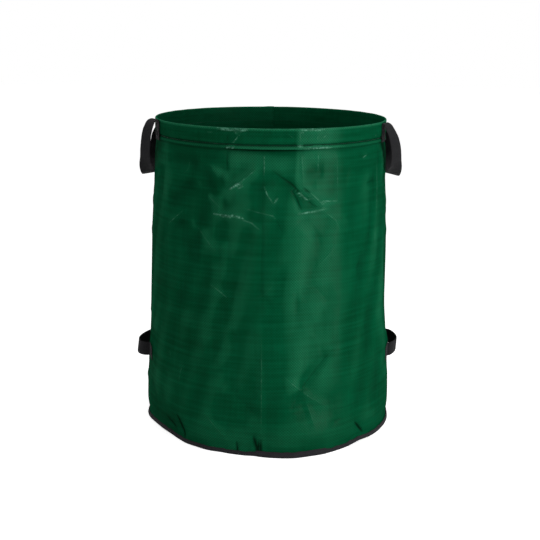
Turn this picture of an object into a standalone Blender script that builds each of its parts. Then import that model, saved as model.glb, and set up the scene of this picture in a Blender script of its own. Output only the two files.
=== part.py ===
"""A round garden waste bag, as separate pieces that stand where the real ones are sewn.

The bag is an open-topped tub of coated woven fabric. Its hem is folded outward over a
flat plastic hoop that keeps the mouth open, its bottom is a round panel, and a black
tape binds the two edges at the foot. Two webbing handles hang from the rim and two
shorter ones stand out near the foot, each sewn on by its two ends.

Metres, +Z up, standing on Z = 0 with the bag's axis on Z. The four handles are on the
-X side (left) and the +X side (right), and -Y is the front.
"""

import math

import bmesh
import bpy
from mathutils import Vector

# Overall sizes
HEIGHT = 0.8634                 # floor to rim
RIM_RADIUS = 0.3235             # outside of the hem
BELLY_RADIUS = 0.3444           # widest place of the wall
BELLY_HEIGHT = 0.112
BASE_RADIUS = 0.3415            # outside of the wall where the binding starts
FACETS = 72                     # flats round the bag
CLEARANCE = 0.0003              # between pieces that lie on each other
MERGE_DISTANCE = 1e-6
SHARP_DEGREES = 35.0

# Fabric and hem
FABRIC = 0.0010
HEM_DEPTH = 0.053
HEM_STITCH_DROP = 0.043         # rim to the row of stitches
HEM_EDGE_LIFT = 0.0012          # how far the hem's free edge stands off the wall

# Hoop inside the hem
HOOP_HEIGHT = 0.035
HOOP_THICKNESS = 0.0010
HOOP_PLAY = 0.0004
HOOP_OVERLAP_FACETS = 4         # the strip's ends lie over each other this far

# Bottom panel and binding tape at the foot
BOTTOM_BORDER = 0.0295          # width of the bottom's rim that rises into the seam
TAPE = 0.0012
BINDING_HEIGHT = 0.016
BINDING_INNER_HEIGHT = 0.012
BINDING_FLARE = 0.0043          # how far the foot of the binding leans out

# Webbing of all four handles
WEBBING_WIDTH = 0.040
WEBBING = 0.0018
FOLD_EYE = 0.0005               # open radius inside the webbing's tight fold

# Handles at the rim
TOP_SPREAD_DEGREES = 18.5       # from the side of the bag to the middle of each end
TOP_FOLD_DROP = 0.004           # rim to the line that the handle swings on
TOP_END_LENGTH = 0.048
TOP_END_TWIST = 0.012           # length over which the end turns straight for the fold
TOP_END_ROWS = 4                # bends over that length
TOP_HANG_DEPTH = 0.153          # swing line to the lowest middle of the strap
TOP_STAND_OFF = 0.025           # rim to the middle of the hanging strap
TOP_SQUARENESS = 2.4
TOP_SIDE_TURN_DEGREES = 50.0    # how far the hanging legs have turned edge out
TOP_SLANT_DEGREES = 8.0         # the lowest part's outer edge hangs lower
TOP_SWING_OUT = (0.02, 0.38)    # shares of the hang over which it moves to its stand-off
TOP_SIDE_TURN = (0.03, 0.33)    # shares of the hang over which the legs turn
TOP_FLAT_TURN = (0.60, 1.00)    # shares of the hang over which the strap turns flat
TOP_LOOP_STEPS = 36
FOLD_WRAP_DEGREES = 150.0
FOLD_STEPS = 5

# Handles near the foot
LOWER_HEIGHT = 0.207            # middle of the strap
LOWER_HALF_SPAN = 0.052
LOWER_REACH = 0.033             # wall to the outer face of the loop
LOWER_SQUARENESS = 3.0
LOWER_END_LENGTH = 0.036
LOWER_LOOP_STEPS = 24

# Thread
THREAD = 0.0007
SIDE_SEAM_HALF_WIDTH = 0.004
SIDE_SEAM_MARGIN = 0.006         # from the seam's ends to the binding and the hem
BASE_STITCH_HEIGHT = 0.011
BOX_MARGIN = 0.005              # from a strap end's edges to its box of stitches

# Places that follow from the sizes above
LEFT, RIGHT = -1, 1
FRONT, REAR = -1, 1
POCKET = 2 * HOOP_THICKNESS + 3 * HOOP_PLAY
WALL_TOP_RADIUS = RIM_RADIUS - FABRIC - POCKET
HEM_FOOT = HEIGHT - HEM_DEPTH
POCKET_TOP = HEIGHT - FABRIC
HOOP_FOOT = POCKET_TOP - HOOP_PLAY - HOOP_HEIGHT
TAIL_FOOT = TAPE + CLEARANCE
FLAT_RADIUS = BASE_RADIUS - BOTTOM_BORDER
FACET_ANGLE = 2 * math.pi / FACETS
TOP_FOLD_RADIUS = FOLD_EYE + WEBBING / 2
TOP_HALF_WIDTH_ANGLE = WEBBING_WIDTH / 2 / RIM_RADIUS
TOP_SPREAD = math.radians(TOP_SPREAD_DEGREES)
TOP_LEG_Y = RIM_RADIUS * math.sin(TOP_SPREAD)
TOP_END_PLANE = RIM_RADIUS * math.cos(TOP_SPREAD - TOP_HALF_WIDTH_ANGLE) + CLEARANCE
TOP_AXIS_X = TOP_END_PLANE + WEBBING / 2 + TOP_FOLD_RADIUS
TOP_AXIS_Z = HEIGHT - TOP_FOLD_DROP


def clear_scene():
    """Remove whatever the scene holds at the start."""
    for item in list(bpy.data.objects):
        bpy.data.objects.remove(item, do_unlink=True)


def principled(name, colour, roughness, metallic=0.0):
    """Make a Principled material from a linear colour."""
    material = bpy.data.materials.new(name)
    material.use_nodes = True
    shader = material.node_tree.nodes["Principled BSDF"]
    shader.inputs["Base Color"].default_value = (*colour, 1.0)
    shader.inputs["Roughness"].default_value = roughness
    shader.inputs["Metallic"].default_value = metallic
    return material


def smooth(value):
    """Ease from 0 to 1, flat at both ends, as the value goes from 0 to 1."""
    value = min(max(value, 0.0), 1.0)
    return value * value * (3 - 2 * value)


def eased(value, span):
    """Ease from 0 to 1 as the value goes through a span."""
    start, end = span
    return smooth((value - start) / (end - start))


def wall_radius(z):
    """Outside radius of the wall, corner to corner of its flats."""
    if z >= HEM_FOOT:
        return WALL_TOP_RADIUS
    if z >= BELLY_HEIGHT:
        share = (z - BELLY_HEIGHT) / (HEM_FOOT - BELLY_HEIGHT)
        return BELLY_RADIUS + share * (WALL_TOP_RADIUS - BELLY_RADIUS)
    share = (z - BINDING_HEIGHT) / (BELLY_HEIGHT - BINDING_HEIGHT)
    return BASE_RADIUS + share * (BELLY_RADIUS - BASE_RADIUS)


def on_flat(radius, angle):
    """Distance from the axis to the flat of a faceted ring, in a direction."""
    from_middle = (angle % FACET_ANGLE) - FACET_ANGLE / 2
    return radius * math.cos(FACET_ANGLE / 2) / math.cos(from_middle)


def polar(radius, angle, z):
    """Point at an angle that is measured from +X towards +Y."""
    return Vector((radius * math.cos(angle), radius * math.sin(angle), z))


def finish(name, work, material, origin, parent):
    """Turn a bmesh into a named, smooth-shaded object with its origin in place."""
    work.normal_update()
    bmesh.ops.recalc_face_normals(work, faces=work.faces)
    bmesh.ops.translate(work, vec=-origin, verts=work.verts)
    mesh = bpy.data.meshes.new(name)
    work.to_mesh(mesh)
    work.free()
    mesh.materials.append(material)
    mesh.shade_smooth()
    mesh.set_sharp_from_angle(angle=math.radians(SHARP_DEGREES))
    item = bpy.data.objects.new(name, mesh)
    item.location = origin
    item.parent = parent
    bpy.context.scene.collection.objects.link(item)
    return item


def turned(name, profile, material, parent):
    """Turn a closed (radius, z) profile about the bag's axis."""
    work = bmesh.new()
    corners = [work.verts.new((radius, 0.0, z)) for radius, z in profile]
    edges = [work.edges.new((corners[i - 1], corners[i])) for i in range(len(corners))]
    bmesh.ops.spin(work, geom=corners + edges, cent=(0, 0, 0), axis=(0, 0, 1),
                   angle=2 * math.pi, steps=FACETS, use_merge=True)
    bmesh.ops.remove_doubles(work, verts=work.verts, dist=MERGE_DISTANCE)
    flat_edges = [edge for edge in work.edges if not edge.link_faces]
    bmesh.ops.delete(work, geom=flat_edges, context="EDGES")
    return finish(name, work, material, Vector((0, 0, 0)), parent)


def swept(name, sections, material, origin, parent):
    """Join rings of as many points each into one closed body with flat ends."""
    work = bmesh.new()
    rings = [[work.verts.new(point) for point in section] for section in sections]
    count = len(rings[0])
    for ring, following in zip(rings, rings[1:]):
        for i in range(count):
            j = (i + 1) % count
            work.faces.new((ring[i], ring[j], following[j], following[i]))
    work.faces.new(rings[0])
    work.faces.new(list(reversed(rings[-1])))
    return finish(name, work, material, origin, parent)


def cut(work, place, normal):
    """Cut every face of a flat pattern along a line."""
    bmesh.ops.bisect_plane(work, geom=work.verts[:] + work.edges[:] + work.faces[:],
                           dist=MERGE_DISTANCE, plane_co=place, plane_no=normal)


def draped(name, pattern, surface, lift, thickness, rows, side, material, parent):
    """Lay a flat pattern on a surface and give it a thickness.

    The pattern is points and faces, each point an angle and a height. It is cut where
    the bag's flats meet and at the given rows, so that it bends with the surface.
    """
    points, faces = pattern
    angles, heights = zip(*points)
    work = bmesh.new()
    corners = [work.verts.new((angle, z, 0.0)) for angle, z in points]
    for face in faces:
        work.faces.new([corners[i] for i in face])
    first_step = math.ceil(min(angles) / FACET_ANGLE)
    last_step = math.floor(max(angles) / FACET_ANGLE)
    for step in range(first_step, last_step + 1):
        cut(work, (step * FACET_ANGLE, 0.0, 0.0), (1.0, 0.0, 0.0))
    for z in rows:
        cut(work, (0.0, z, 0.0), (0.0, 1.0, 0.0))
    grown = bmesh.ops.extrude_face_region(work, geom=work.faces[:], use_keep_orig=True)
    top = [item for item in grown["geom"] if isinstance(item, bmesh.types.BMVert)]
    bmesh.ops.translate(work, vec=(0.0, 0.0, thickness), verts=top)
    for vert in work.verts:
        vert.co = mirrored(surface(vert.co.x, vert.co.y, lift + vert.co.z), side)
    middle = surface((min(angles) + max(angles)) / 2, (min(heights) + max(heights)) / 2, lift)
    return finish(name, work, material, mirrored(middle, side), parent)


def rectangle(angles, heights):
    """A plain rectangle as a flat pattern."""
    (low_a, high_a), (low_z, high_z) = angles, heights
    return [(low_a, low_z), (high_a, low_z), (high_a, high_z), (low_a, high_z)], [(0, 1, 2, 3)]


def thread_frame(angles, heights, radius):
    """A rectangle of thread with nothing inside it, as a flat pattern."""
    outer, _ = rectangle(angles, heights)
    wide = THREAD / radius
    inner, _ = rectangle((angles[0] + wide, angles[1] - wide),
                         (heights[0] + THREAD, heights[1] - THREAD))
    return outer + inner, [(i, (i + 1) % 4, 4 + (i + 1) % 4, 4 + i) for i in range(4)]


def crossed_box(angles, heights, radius):
    """A rectangle of thread with both its diagonals, as a flat pattern.

    It is laid out in metres about its middle. Each of its four three-cornered holes
    has two corners beside the frame and its tip by the middle.
    """
    width = (angles[1] - angles[0]) * radius
    height = heights[1] - heights[0]
    half_w, half_h = width / 2, height / 2
    diagonal = math.hypot(width, height)
    tip_z = THREAD / 2 * diagonal / width
    tip_x = THREAD / 2 * diagonal / height
    hole_x = width / height * (half_h - THREAD - tip_z)
    hole_z = height / width * (half_w - THREAD - tip_x)
    flat = [(-half_w, -half_h), (half_w, -half_h), (half_w, half_h), (-half_w, half_h),
            (-hole_x, THREAD - half_h), (hole_x, THREAD - half_h), (0.0, -tip_z),
            (half_w - THREAD, -hole_z), (half_w - THREAD, hole_z), (tip_x, 0.0),
            (hole_x, half_h - THREAD), (-hole_x, half_h - THREAD), (0.0, tip_z),
            (THREAD - half_w, hole_z), (THREAD - half_w, -hole_z), (-tip_x, 0.0)]
    faces = []
    for i in range(4):
        near, far, tip = (4 + 3 * i + k for k in range(3))
        far_before, tip_before = (4 + 3 * ((i - 1) % 4) + k for k in (1, 2))
        faces.append((i, (i + 1) % 4, far, near))
        faces.append((i, near, far_before))
        faces.append((far_before, near, tip, tip_before))
    faces.append((6, 9, 12, 15))
    middle_a, middle_z = sum(angles) / 2, sum(heights) / 2
    return [(middle_a + x / radius, middle_z + z) for x, z in flat], faces


def strap_section(centre, across, out):
    """The four corners of the webbing at one place on its way."""
    half_width = across * (WEBBING_WIDTH / 2)
    half_thick = out * (WEBBING / 2)
    return [centre - half_width - half_thick, centre + half_width - half_thick,
            centre + half_width + half_thick, centre - half_width + half_thick]


def strap_sections(centres, wishes):
    """Sections of webbing along a way, each turned square to the way.

    The wishes say which way the webbing's width points at each place.
    """
    sections = []
    for i, (centre, wish) in enumerate(zip(centres, wishes)):
        before = centres[max(i - 1, 0)]
        after = centres[min(i + 1, len(centres) - 1)]
        along = (after - before).normalized()
        across = (wish - along * wish.dot(along)).normalized()
        sections.append(strap_section(centre, across, along.cross(across)))
    return sections


def side_panel(material, parent):
    """The wall, with its hem folded outward and its foot turned down into the binding."""
    stitch_z = HEIGHT - HEM_STITCH_DROP
    taper_top = HOOP_FOOT - HOOP_PLAY
    flap_inner = RIM_RADIUS - FABRIC
    tail = BASE_RADIUS + BINDING_FLARE * (1 - TAIL_FOOT / BINDING_HEIGHT)
    pressed = WALL_TOP_RADIUS + CLEARANCE
    lifted = pressed + HEM_EDGE_LIFT
    roll = FABRIC / 2
    outside = [(tail, TAIL_FOOT), (BASE_RADIUS, BINDING_HEIGHT),
               (BELLY_RADIUS, BELLY_HEIGHT), (WALL_TOP_RADIUS, HEM_FOOT),
               (WALL_TOP_RADIUS, POCKET_TOP)]
    pocket = [(flap_inner, POCKET_TOP), (flap_inner, taper_top), (pressed, stitch_z),
              (lifted, HEM_FOOT)]
    flap = [(lifted + FABRIC, HEM_FOOT), (pressed + FABRIC, stitch_z),
            (RIM_RADIUS, taper_top), (RIM_RADIUS, HEIGHT - roll),
            (RIM_RADIUS - roll, HEIGHT)]
    inner_top = WALL_TOP_RADIUS - FABRIC
    inside = [(inner_top + roll, HEIGHT), (inner_top, HEIGHT - roll),
              (inner_top, HEM_FOOT), (BELLY_RADIUS - FABRIC, BELLY_HEIGHT),
              (BASE_RADIUS - FABRIC, BINDING_HEIGHT), (tail - FABRIC, TAIL_FOOT)]
    return turned("side_panel", outside + pocket + flap + inside, material, parent)


def seam_radius(inward, z):
    """Radius in the foot seam at a depth inward of the wall's outside."""
    return BASE_RADIUS - inward + BINDING_FLARE * (1 - z / BINDING_HEIGHT)


def bottom_panel(material, parent):
    """The round bottom: flat on the floor, rising to its edge, turned down in the seam."""
    skirt_out = FABRIC + CLEARANCE
    skirt_in = skirt_out + FABRIC
    past_tape = skirt_in + 2 * CLEARANCE + TAPE
    saddle = BINDING_INNER_HEIGHT + CLEARANCE
    under = [(0.0, 0.0), (FLAT_RADIUS, 0.0), (seam_radius(past_tape, saddle), saddle),
             (seam_radius(skirt_in, saddle), saddle),
             (seam_radius(skirt_in, TAIL_FOOT), TAIL_FOOT)]
    over = [(seam_radius(skirt_out, TAIL_FOOT), TAIL_FOOT),
            (seam_radius(skirt_out, BINDING_HEIGHT), BINDING_HEIGHT),
            (seam_radius(past_tape, BINDING_HEIGHT), saddle + FABRIC),
            (FLAT_RADIUS, FABRIC), (0.0, FABRIC)]
    return turned("bottom_panel", under + over, material, parent)


def base_binding(material, parent):
    """Black tape folded round the two raw edges at the foot."""
    outer = -CLEARANCE
    inner = 2 * FABRIC + 2 * CLEARANCE
    profile = [(seam_radius(inner + TAPE, 0.0), 0.0), (seam_radius(outer - TAPE, 0.0), 0.0),
               (seam_radius(outer - TAPE, BINDING_HEIGHT), BINDING_HEIGHT),
               (seam_radius(outer, BINDING_HEIGHT), BINDING_HEIGHT),
               (seam_radius(outer, TAPE), TAPE), (seam_radius(inner, TAPE), TAPE),
               (seam_radius(inner, BINDING_INNER_HEIGHT), BINDING_INNER_HEIGHT),
               (seam_radius(inner + TAPE, BINDING_INNER_HEIGHT), BINDING_INNER_HEIGHT)]
    return turned("base_binding", profile, material, parent)


def rim_hoop(material, parent):
    """A flat strip that winds a little over once round, its ends lying on each other."""
    steps = FACETS + HOOP_OVERLAP_FACETS
    first = WALL_TOP_RADIUS + HOOP_PLAY
    rise = HOOP_THICKNESS + HOOP_PLAY
    start = math.pi / 2
    sections = []
    for step in range(steps + 1):
        inner = first + rise * step / steps
        outer = inner + HOOP_THICKNESS
        angle = start + step * FACET_ANGLE
        sections.append([polar(inner, angle, HOOP_FOOT), polar(outer, angle, HOOP_FOOT),
                         polar(outer, angle, HOOP_FOOT + HOOP_HEIGHT),
                         polar(inner, angle, HOOP_FOOT + HOOP_HEIGHT)])
    return swept("rim_hoop", sections, material, Vector((0, 0, 0)), parent)


def round_seam(name, radius, z, material, parent):
    """A line of thread that runs once round the bag, just clear of what it is sewn on."""
    inner = radius + CLEARANCE
    profile = [(inner, z - THREAD / 2), (inner + THREAD, z - THREAD / 2),
               (inner + THREAD, z + THREAD / 2), (inner, z + THREAD / 2)]
    return turned(name, profile, material, parent)


def wall_point(angle, z, lift):
    """Point over the outside of the wall."""
    return polar(on_flat(wall_radius(z), angle) + CLEARANCE + lift, angle, z)


def side_seam(material, parent):
    """Two rows of thread up the back, where the wall's two edges lie over each other."""
    back = math.pi / 2
    half = SIDE_SEAM_HALF_WIDTH / BELLY_RADIUS
    pattern = thread_frame((back - half, back + half),
                           (BINDING_HEIGHT + SIDE_SEAM_MARGIN, HEM_FOOT - SIDE_SEAM_MARGIN),
                           BELLY_RADIUS)
    return draped("side_seam_thread", pattern, wall_point, 0.0, THREAD, [BELLY_HEIGHT],
                  RIGHT, material, parent)


def mirrored(point, side):
    """Move a point of the right-hand side to the side that is asked for."""
    return Vector((point.x * side, point.y, point.z))


def top_end_point(angle, z, lift):
    """Point on a rim handle's sewn end, a given lift above its inner face.

    The end follows the hem, and turns straight over its last stretch below the fold.
    """
    hem = polar(on_flat(RIM_RADIUS, angle) + CLEARANCE + lift, angle, z)
    top = top_end_top()
    share = smooth(1 - (top - z) / TOP_END_TWIST)
    straight = Vector((TOP_END_PLANE + lift, hem.y, z))
    return hem.lerp(straight, share)


def top_end_top():
    """Height of a rim handle's sewn end, just clear of the fold above it."""
    reach = TOP_FOLD_RADIUS + WEBBING / 2 + CLEARANCE
    return TOP_AXIS_Z - math.sqrt(reach * reach - FOLD_EYE * FOLD_EYE)


def sewn_end(stem, surface, angles, heights, box_top, rows, side, materials, parent):
    """A strap's end and the crossed box of thread that holds it, up to box_top."""
    webbing, thread = materials
    radius = surface(angles[0], heights[0], 0.0).xy.length
    draped(f"{stem}_end", rectangle(angles, heights), surface, 0.0, WEBBING, rows,
           side, webbing, parent)
    margin = BOX_MARGIN / radius
    pattern = crossed_box((angles[0] + margin, angles[1] - margin),
                          (heights[0] + BOX_MARGIN, box_top - BOX_MARGIN), radius)
    draped(f"{stem}_stitches", pattern, surface, WEBBING + CLEARANCE, THREAD, [],
           side, thread, parent)


def top_loop(name, side, material, parent):
    """The hanging part of a rim handle, from its one fold down and up to the other."""
    wrap = math.radians(FOLD_WRAP_DEGREES)
    fold = [wrap * (1 - step / FOLD_STEPS) for step in range(FOLD_STEPS + 1)]
    front = [(Vector((TOP_AXIS_X + TOP_FOLD_RADIUS * math.cos(a), -TOP_LEG_Y,
                      TOP_AXIS_Z + TOP_FOLD_RADIUS * math.sin(a))), Vector((0, 1, 0)))
             for a in fold]
    start_x = TOP_AXIS_X + TOP_FOLD_RADIUS
    drift = RIM_RADIUS + TOP_STAND_OFF - start_x
    full_turn = 90.0
    hanging = []
    for step in range(1, TOP_LOOP_STEPS):
        angle = math.pi * smooth(step / TOP_LOOP_STEPS)
        depth = math.sin(angle) ** (2 / TOP_SQUARENESS)
        side_way = abs(math.cos(angle)) ** (2 / TOP_SQUARENESS)
        y = -TOP_LEG_Y * math.copysign(side_way, math.cos(angle))
        x = start_x + drift * eased(depth, TOP_SWING_OUT)
        flat = eased(depth, TOP_FLAT_TURN)
        turn = math.radians(TOP_SIDE_TURN_DEGREES * eased(depth, TOP_SIDE_TURN)
                            + (full_turn - TOP_SIDE_TURN_DEGREES) * flat)
        slant = math.radians(TOP_SLANT_DEGREES) * flat
        ahead = math.copysign(math.cos(turn), math.cos(angle))
        wish = Vector((math.sin(turn) * math.cos(slant), ahead,
                       -math.sin(turn) * math.sin(slant)))
        hanging.append((Vector((x, y, TOP_AXIS_Z - TOP_HANG_DEPTH * depth)), wish))
    rear = [(Vector((c.x, -c.y, c.z)), -wish) for c, wish in reversed(front)]
    way = front + hanging + rear
    sections = strap_sections([mirrored(c, side) for c, _ in way],
                              [mirrored(wish, side) for _, wish in way])
    origin = Vector((TOP_AXIS_X * side, 0, TOP_AXIS_Z))
    return swept(name, sections, material, origin, parent)


def lower_axis():
    """Place of the line that a lower handle tilts on: its upper edge at the wall."""
    low_radius = wall_radius(LOWER_HEIGHT - WEBBING_WIDTH / 2)
    wall_x = math.sqrt(low_radius ** 2 - LOWER_HALF_SPAN ** 2)
    return Vector((wall_x + CLEARANCE, 0, LOWER_HEIGHT + WEBBING_WIDTH / 2))


def lower_loop(name, side, material, parent):
    """The part of a lower handle that stands out from the wall as a hand loop."""
    axis = lower_axis()
    reach = wall_radius(LOWER_HEIGHT) + LOWER_REACH - WEBBING / 2 - axis.x
    centres = []
    for step in range(LOWER_LOOP_STEPS + 1):
        angle = math.pi * step / LOWER_LOOP_STEPS
        out = math.sin(angle) ** (2 / LOWER_SQUARENESS)
        side_way = abs(math.cos(angle)) ** (2 / LOWER_SQUARENESS)
        y = -LOWER_HALF_SPAN * math.copysign(side_way, math.cos(angle))
        centres.append(mirrored(Vector((axis.x + reach * out, y, LOWER_HEIGHT)), side))
    up = Vector((0, 0, 1))
    sections = strap_sections(centres, [up] * len(centres))
    return swept(name, sections, material, mirrored(axis, side), parent)


def top_handle(side, side_name, materials, parent):
    """A rim handle: its hanging loop, two sewn ends and their stitches."""
    stem = f"top_handle_{side_name}"
    top_loop(f"{stem}_loop", side, materials[0], parent)
    top = top_end_top()
    rows = [top - TOP_END_TWIST * (1 - step / TOP_END_ROWS) for step in range(TOP_END_ROWS)]
    for end, end_name in ((FRONT, "front"), (REAR, "rear")):
        middle = end * TOP_SPREAD
        sewn_end(f"{stem}_{end_name}", top_end_point,
                 (middle - TOP_HALF_WIDTH_ANGLE, middle + TOP_HALF_WIDTH_ANGLE),
                 (top - TOP_END_LENGTH, top), rows[0], rows, side, materials, parent)


def lower_handle(side, side_name, materials, parent):
    """A lower handle: its loop, two sewn ends and their stitches."""
    stem = f"lower_handle_{side_name}"
    lower_loop(f"{stem}_loop", side, materials[0], parent)
    radius = wall_radius(LOWER_HEIGHT)
    near = math.asin((LOWER_HALF_SPAN + WEBBING / 2 + CLEARANCE) / radius)
    far = near + LOWER_END_LENGTH / radius
    foot = LOWER_HEIGHT - WEBBING_WIDTH / 2
    top = LOWER_HEIGHT + WEBBING_WIDTH / 2
    for end, end_name in ((FRONT, "front"), (REAR, "rear")):
        sewn_end(f"{stem}_{end_name}", wall_point, tuple(sorted((end * near, end * far))),
                 (foot, top), top, [], side, materials, parent)


def main():
    """Build the whole bag."""
    clear_scene()
    frame = bpy.data.objects.new("garden_waste_bag", None)
    bpy.context.scene.collection.objects.link(frame)
    fabric = principled("green_woven_fabric", (0.006, 0.075, 0.037), 0.42)
    webbing = principled("black_webbing", (0.012, 0.012, 0.013), 0.75)
    tape = principled("black_tape", (0.022, 0.022, 0.023), 0.80)
    strip = principled("hoop_plastic", (0.60, 0.60, 0.58), 0.45)
    green_thread = principled("green_thread", (0.008, 0.060, 0.032), 0.60)
    black_thread = principled("black_thread", (0.010, 0.010, 0.011), 0.60)

    side_panel(fabric, frame)
    bottom_panel(fabric, frame)
    rim_hoop(strip, frame)
    base_binding(tape, frame)
    round_seam("hem_seam_thread", WALL_TOP_RADIUS + CLEARANCE + FABRIC,
               HEIGHT - HEM_STITCH_DROP, green_thread, frame)
    round_seam("base_seam_thread",
               seam_radius(-CLEARANCE - TAPE, BASE_STITCH_HEIGHT - THREAD / 2),
               BASE_STITCH_HEIGHT, black_thread, frame)
    side_seam(green_thread, frame)
    for side, side_name in ((LEFT, "left"), (RIGHT, "right")):
        top_handle(side, side_name, (webbing, black_thread), frame)
        lower_handle(side, side_name, (webbing, black_thread), frame)


main()
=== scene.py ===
"""Looks of a round garden waste bag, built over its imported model.

Metres, +Z up, the bag's axis on Z and its front towards -Y. An angle is read round the axis from the
front line towards +X, an arc is that angle times ARC_RADIUS, and a height is read from the floor.
"""

import logging
import math
from dataclasses import dataclass
from enum import Enum

import bpy
import numpy as np
from mathutils import Matrix


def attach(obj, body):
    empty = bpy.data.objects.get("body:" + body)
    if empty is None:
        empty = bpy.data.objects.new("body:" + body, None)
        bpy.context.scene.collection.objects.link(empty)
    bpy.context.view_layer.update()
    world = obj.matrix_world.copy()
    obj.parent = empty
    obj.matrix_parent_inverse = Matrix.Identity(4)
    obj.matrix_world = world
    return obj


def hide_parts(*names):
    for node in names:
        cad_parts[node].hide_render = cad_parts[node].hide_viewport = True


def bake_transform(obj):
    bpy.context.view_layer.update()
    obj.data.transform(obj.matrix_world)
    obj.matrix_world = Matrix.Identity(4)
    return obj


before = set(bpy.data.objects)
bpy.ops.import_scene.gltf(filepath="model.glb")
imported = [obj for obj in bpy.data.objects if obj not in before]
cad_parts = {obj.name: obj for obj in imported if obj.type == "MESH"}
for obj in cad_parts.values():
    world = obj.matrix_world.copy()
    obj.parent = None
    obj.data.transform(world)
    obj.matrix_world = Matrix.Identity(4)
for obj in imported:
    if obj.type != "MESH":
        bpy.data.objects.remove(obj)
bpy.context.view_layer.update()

LOG = logging.getLogger("garden_waste_bag")
Socket = bpy.types.NodeSocket
Material = bpy.types.Material
Piece = bpy.types.Object

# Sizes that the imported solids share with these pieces
HEIGHT = 0.8634
RIM_RADIUS = 0.3235
WALL_TOP_RADIUS = 0.3193
HEM_DEPTH = 0.053
HEM_STITCH_DROP = 0.043
BASE_RADIUS = 0.3415
BINDING_HEIGHT = 0.016
BINDING_FLARE = 0.0043
FLAT_RADIUS = 0.312
WEBBING_WIDTH = 0.040
WEBBING = 0.0018
TOP_SPREAD = 18.5  # angle from the side to a rim handle's sewn end, in degrees
TOP_END_FOOT = 0.8076
LOWER_HALF_SPAN = 0.052

# Sizes of the cloth and of what lies on it
ARC_RADIUS = 0.335  # radius at which an arc along the wall is measured
HALF_GIRTH = math.pi * ARC_RADIUS
CLOTH = 0.0005  # thickness of the coated cloth
GAP = 0.0003  # room between the cloth and what lies on it
MM = 0.001


class Side(Enum):
    """Side of the bag, as the sign of its X."""

    LEFT = -1
    RIGHT = 1


class End(Enum):
    """End of a strap, as the sign of its Y."""

    FRONT = -1
    REAR = 1


class Fold(Enum):
    """Which way a crease goes, as the sign of its push on the wall."""

    VALLEY = -1
    RIDGE = 1


def eased(value: np.ndarray | float, start: float, end: float) -> np.ndarray:
    """Smoothstep from 0 at start to 1 at end: t * t * (3 - 2 * t)."""
    share = np.clip((np.asarray(value, float) - start) / (end - start), 0.0, 1.0)
    return share * share * (3 - 2 * share)


def band(value: np.ndarray, rise: tuple[float, float], fall: tuple[float, float]) -> np.ndarray:
    """Share that eases from 0 to 1 over the rise and back to 0 over the fall."""
    return eased(value, *rise) * (1 - eased(value, *fall))


def bell(value: np.ndarray, middle: float, width: float) -> np.ndarray:
    """Round hill: exp(-((value - middle) / width) ** 2)."""
    return np.exp(-((value - middle) / width) ** 2)


def unit(vectors: np.ndarray) -> np.ndarray:
    """Vectors divided by their lengths."""
    return vectors / np.maximum(np.linalg.norm(vectors, axis=-1, keepdims=True), 1e-12)


def around(radius: np.ndarray, angle: np.ndarray, height: np.ndarray | float) -> np.ndarray:
    """Points round the bag's axis: radius * sin(angle), -radius * cos(angle) and the height."""
    return np.stack(np.broadcast_arrays(radius * np.sin(angle), -radius * np.cos(angle), height), axis=-1)


def way_along(places: np.ndarray) -> np.ndarray:
    """Length of a way up to each of its places: the running sum of its steps."""
    return np.concatenate([[0.0], np.cumsum(np.linalg.norm(np.diff(places, axis=0), axis=1))])


def through(knots: np.ndarray, places: np.ndarray, at: np.ndarray) -> np.ndarray:
    """Smooth curve through knots, a cubic Hermite with slopes from each knot's neighbours.

    Args:
        knots: Parameter of each knot, rising.
        places: Value at each knot, one row a knot.
        at: Parameters to read.

    Returns:
        The value at each parameter, one row each.
    """
    knots, places = np.asarray(knots, float), np.asarray(places, float)
    flat = places.ndim == 1
    rows = places[:, None] if flat else places
    slopes = np.gradient(rows, knots, axis=0)
    index = np.clip(np.searchsorted(knots, at, side="right") - 1, 0, len(knots) - 2)
    span = (knots[index + 1] - knots[index])[:, None]
    t = ((at - knots[index]) / span[:, 0])[:, None]
    value = ((2 * t ** 3 - 3 * t ** 2 + 1) * rows[index] + (t ** 3 - 2 * t ** 2 + t) * span * slopes[index]
             + (3 * t ** 2 - 2 * t ** 3) * rows[index + 1] + (t ** 3 - t ** 2) * span * slopes[index + 1])
    return value[:, 0] if flat else value


def waves(angle: np.ndarray, orders: range, size: float, seed: int) -> np.ndarray:
    """Seeded sum of sines round the bag: size / sqrt(count) * sum of sin(order * angle + phase).

    Args:
        angle: Angles to read.
        orders: How often each sine goes round.
        size: Size of the sum, 1.4 times its root mean square.
        seed: Seed of the phases.

    Returns:
        The sum at each angle.
    """
    phases = np.random.default_rng(seed).uniform(0, 2 * math.pi, len(orders))
    total = sum(np.sin(order * angle + phase) for order, phase in zip(orders, phases))
    return size * total / math.sqrt(len(orders))


def smoothed(grid: np.ndarray, times: int) -> np.ndarray:
    """Grid averaged with its neighbours, as 1 : 2 : 1 along rows and columns.

    Args:
        grid: Numbers in rows and columns.
        times: How often it is averaged.

    Returns:
        The smoother grid.
    """
    for _ in range(times):
        for axis in (0, 1):
            low, high = np.roll(grid, 1, axis), np.roll(grid, -1, axis)
            edge = [slice(None)] * 2
            edge[axis] = 0
            low[tuple(edge)] = grid[tuple(edge)]
            edge[axis] = -1
            high[tuple(edge)] = grid[tuple(edge)]
            grid = (low + 2 * grid + high) / 4
    return grid


def normals_of(grid: np.ndarray) -> np.ndarray:
    """Normals of a grid of points: the cross product of its column step and its row step."""
    return unit(np.cross(np.gradient(grid, axis=1), np.gradient(grid, axis=0)))


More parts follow.
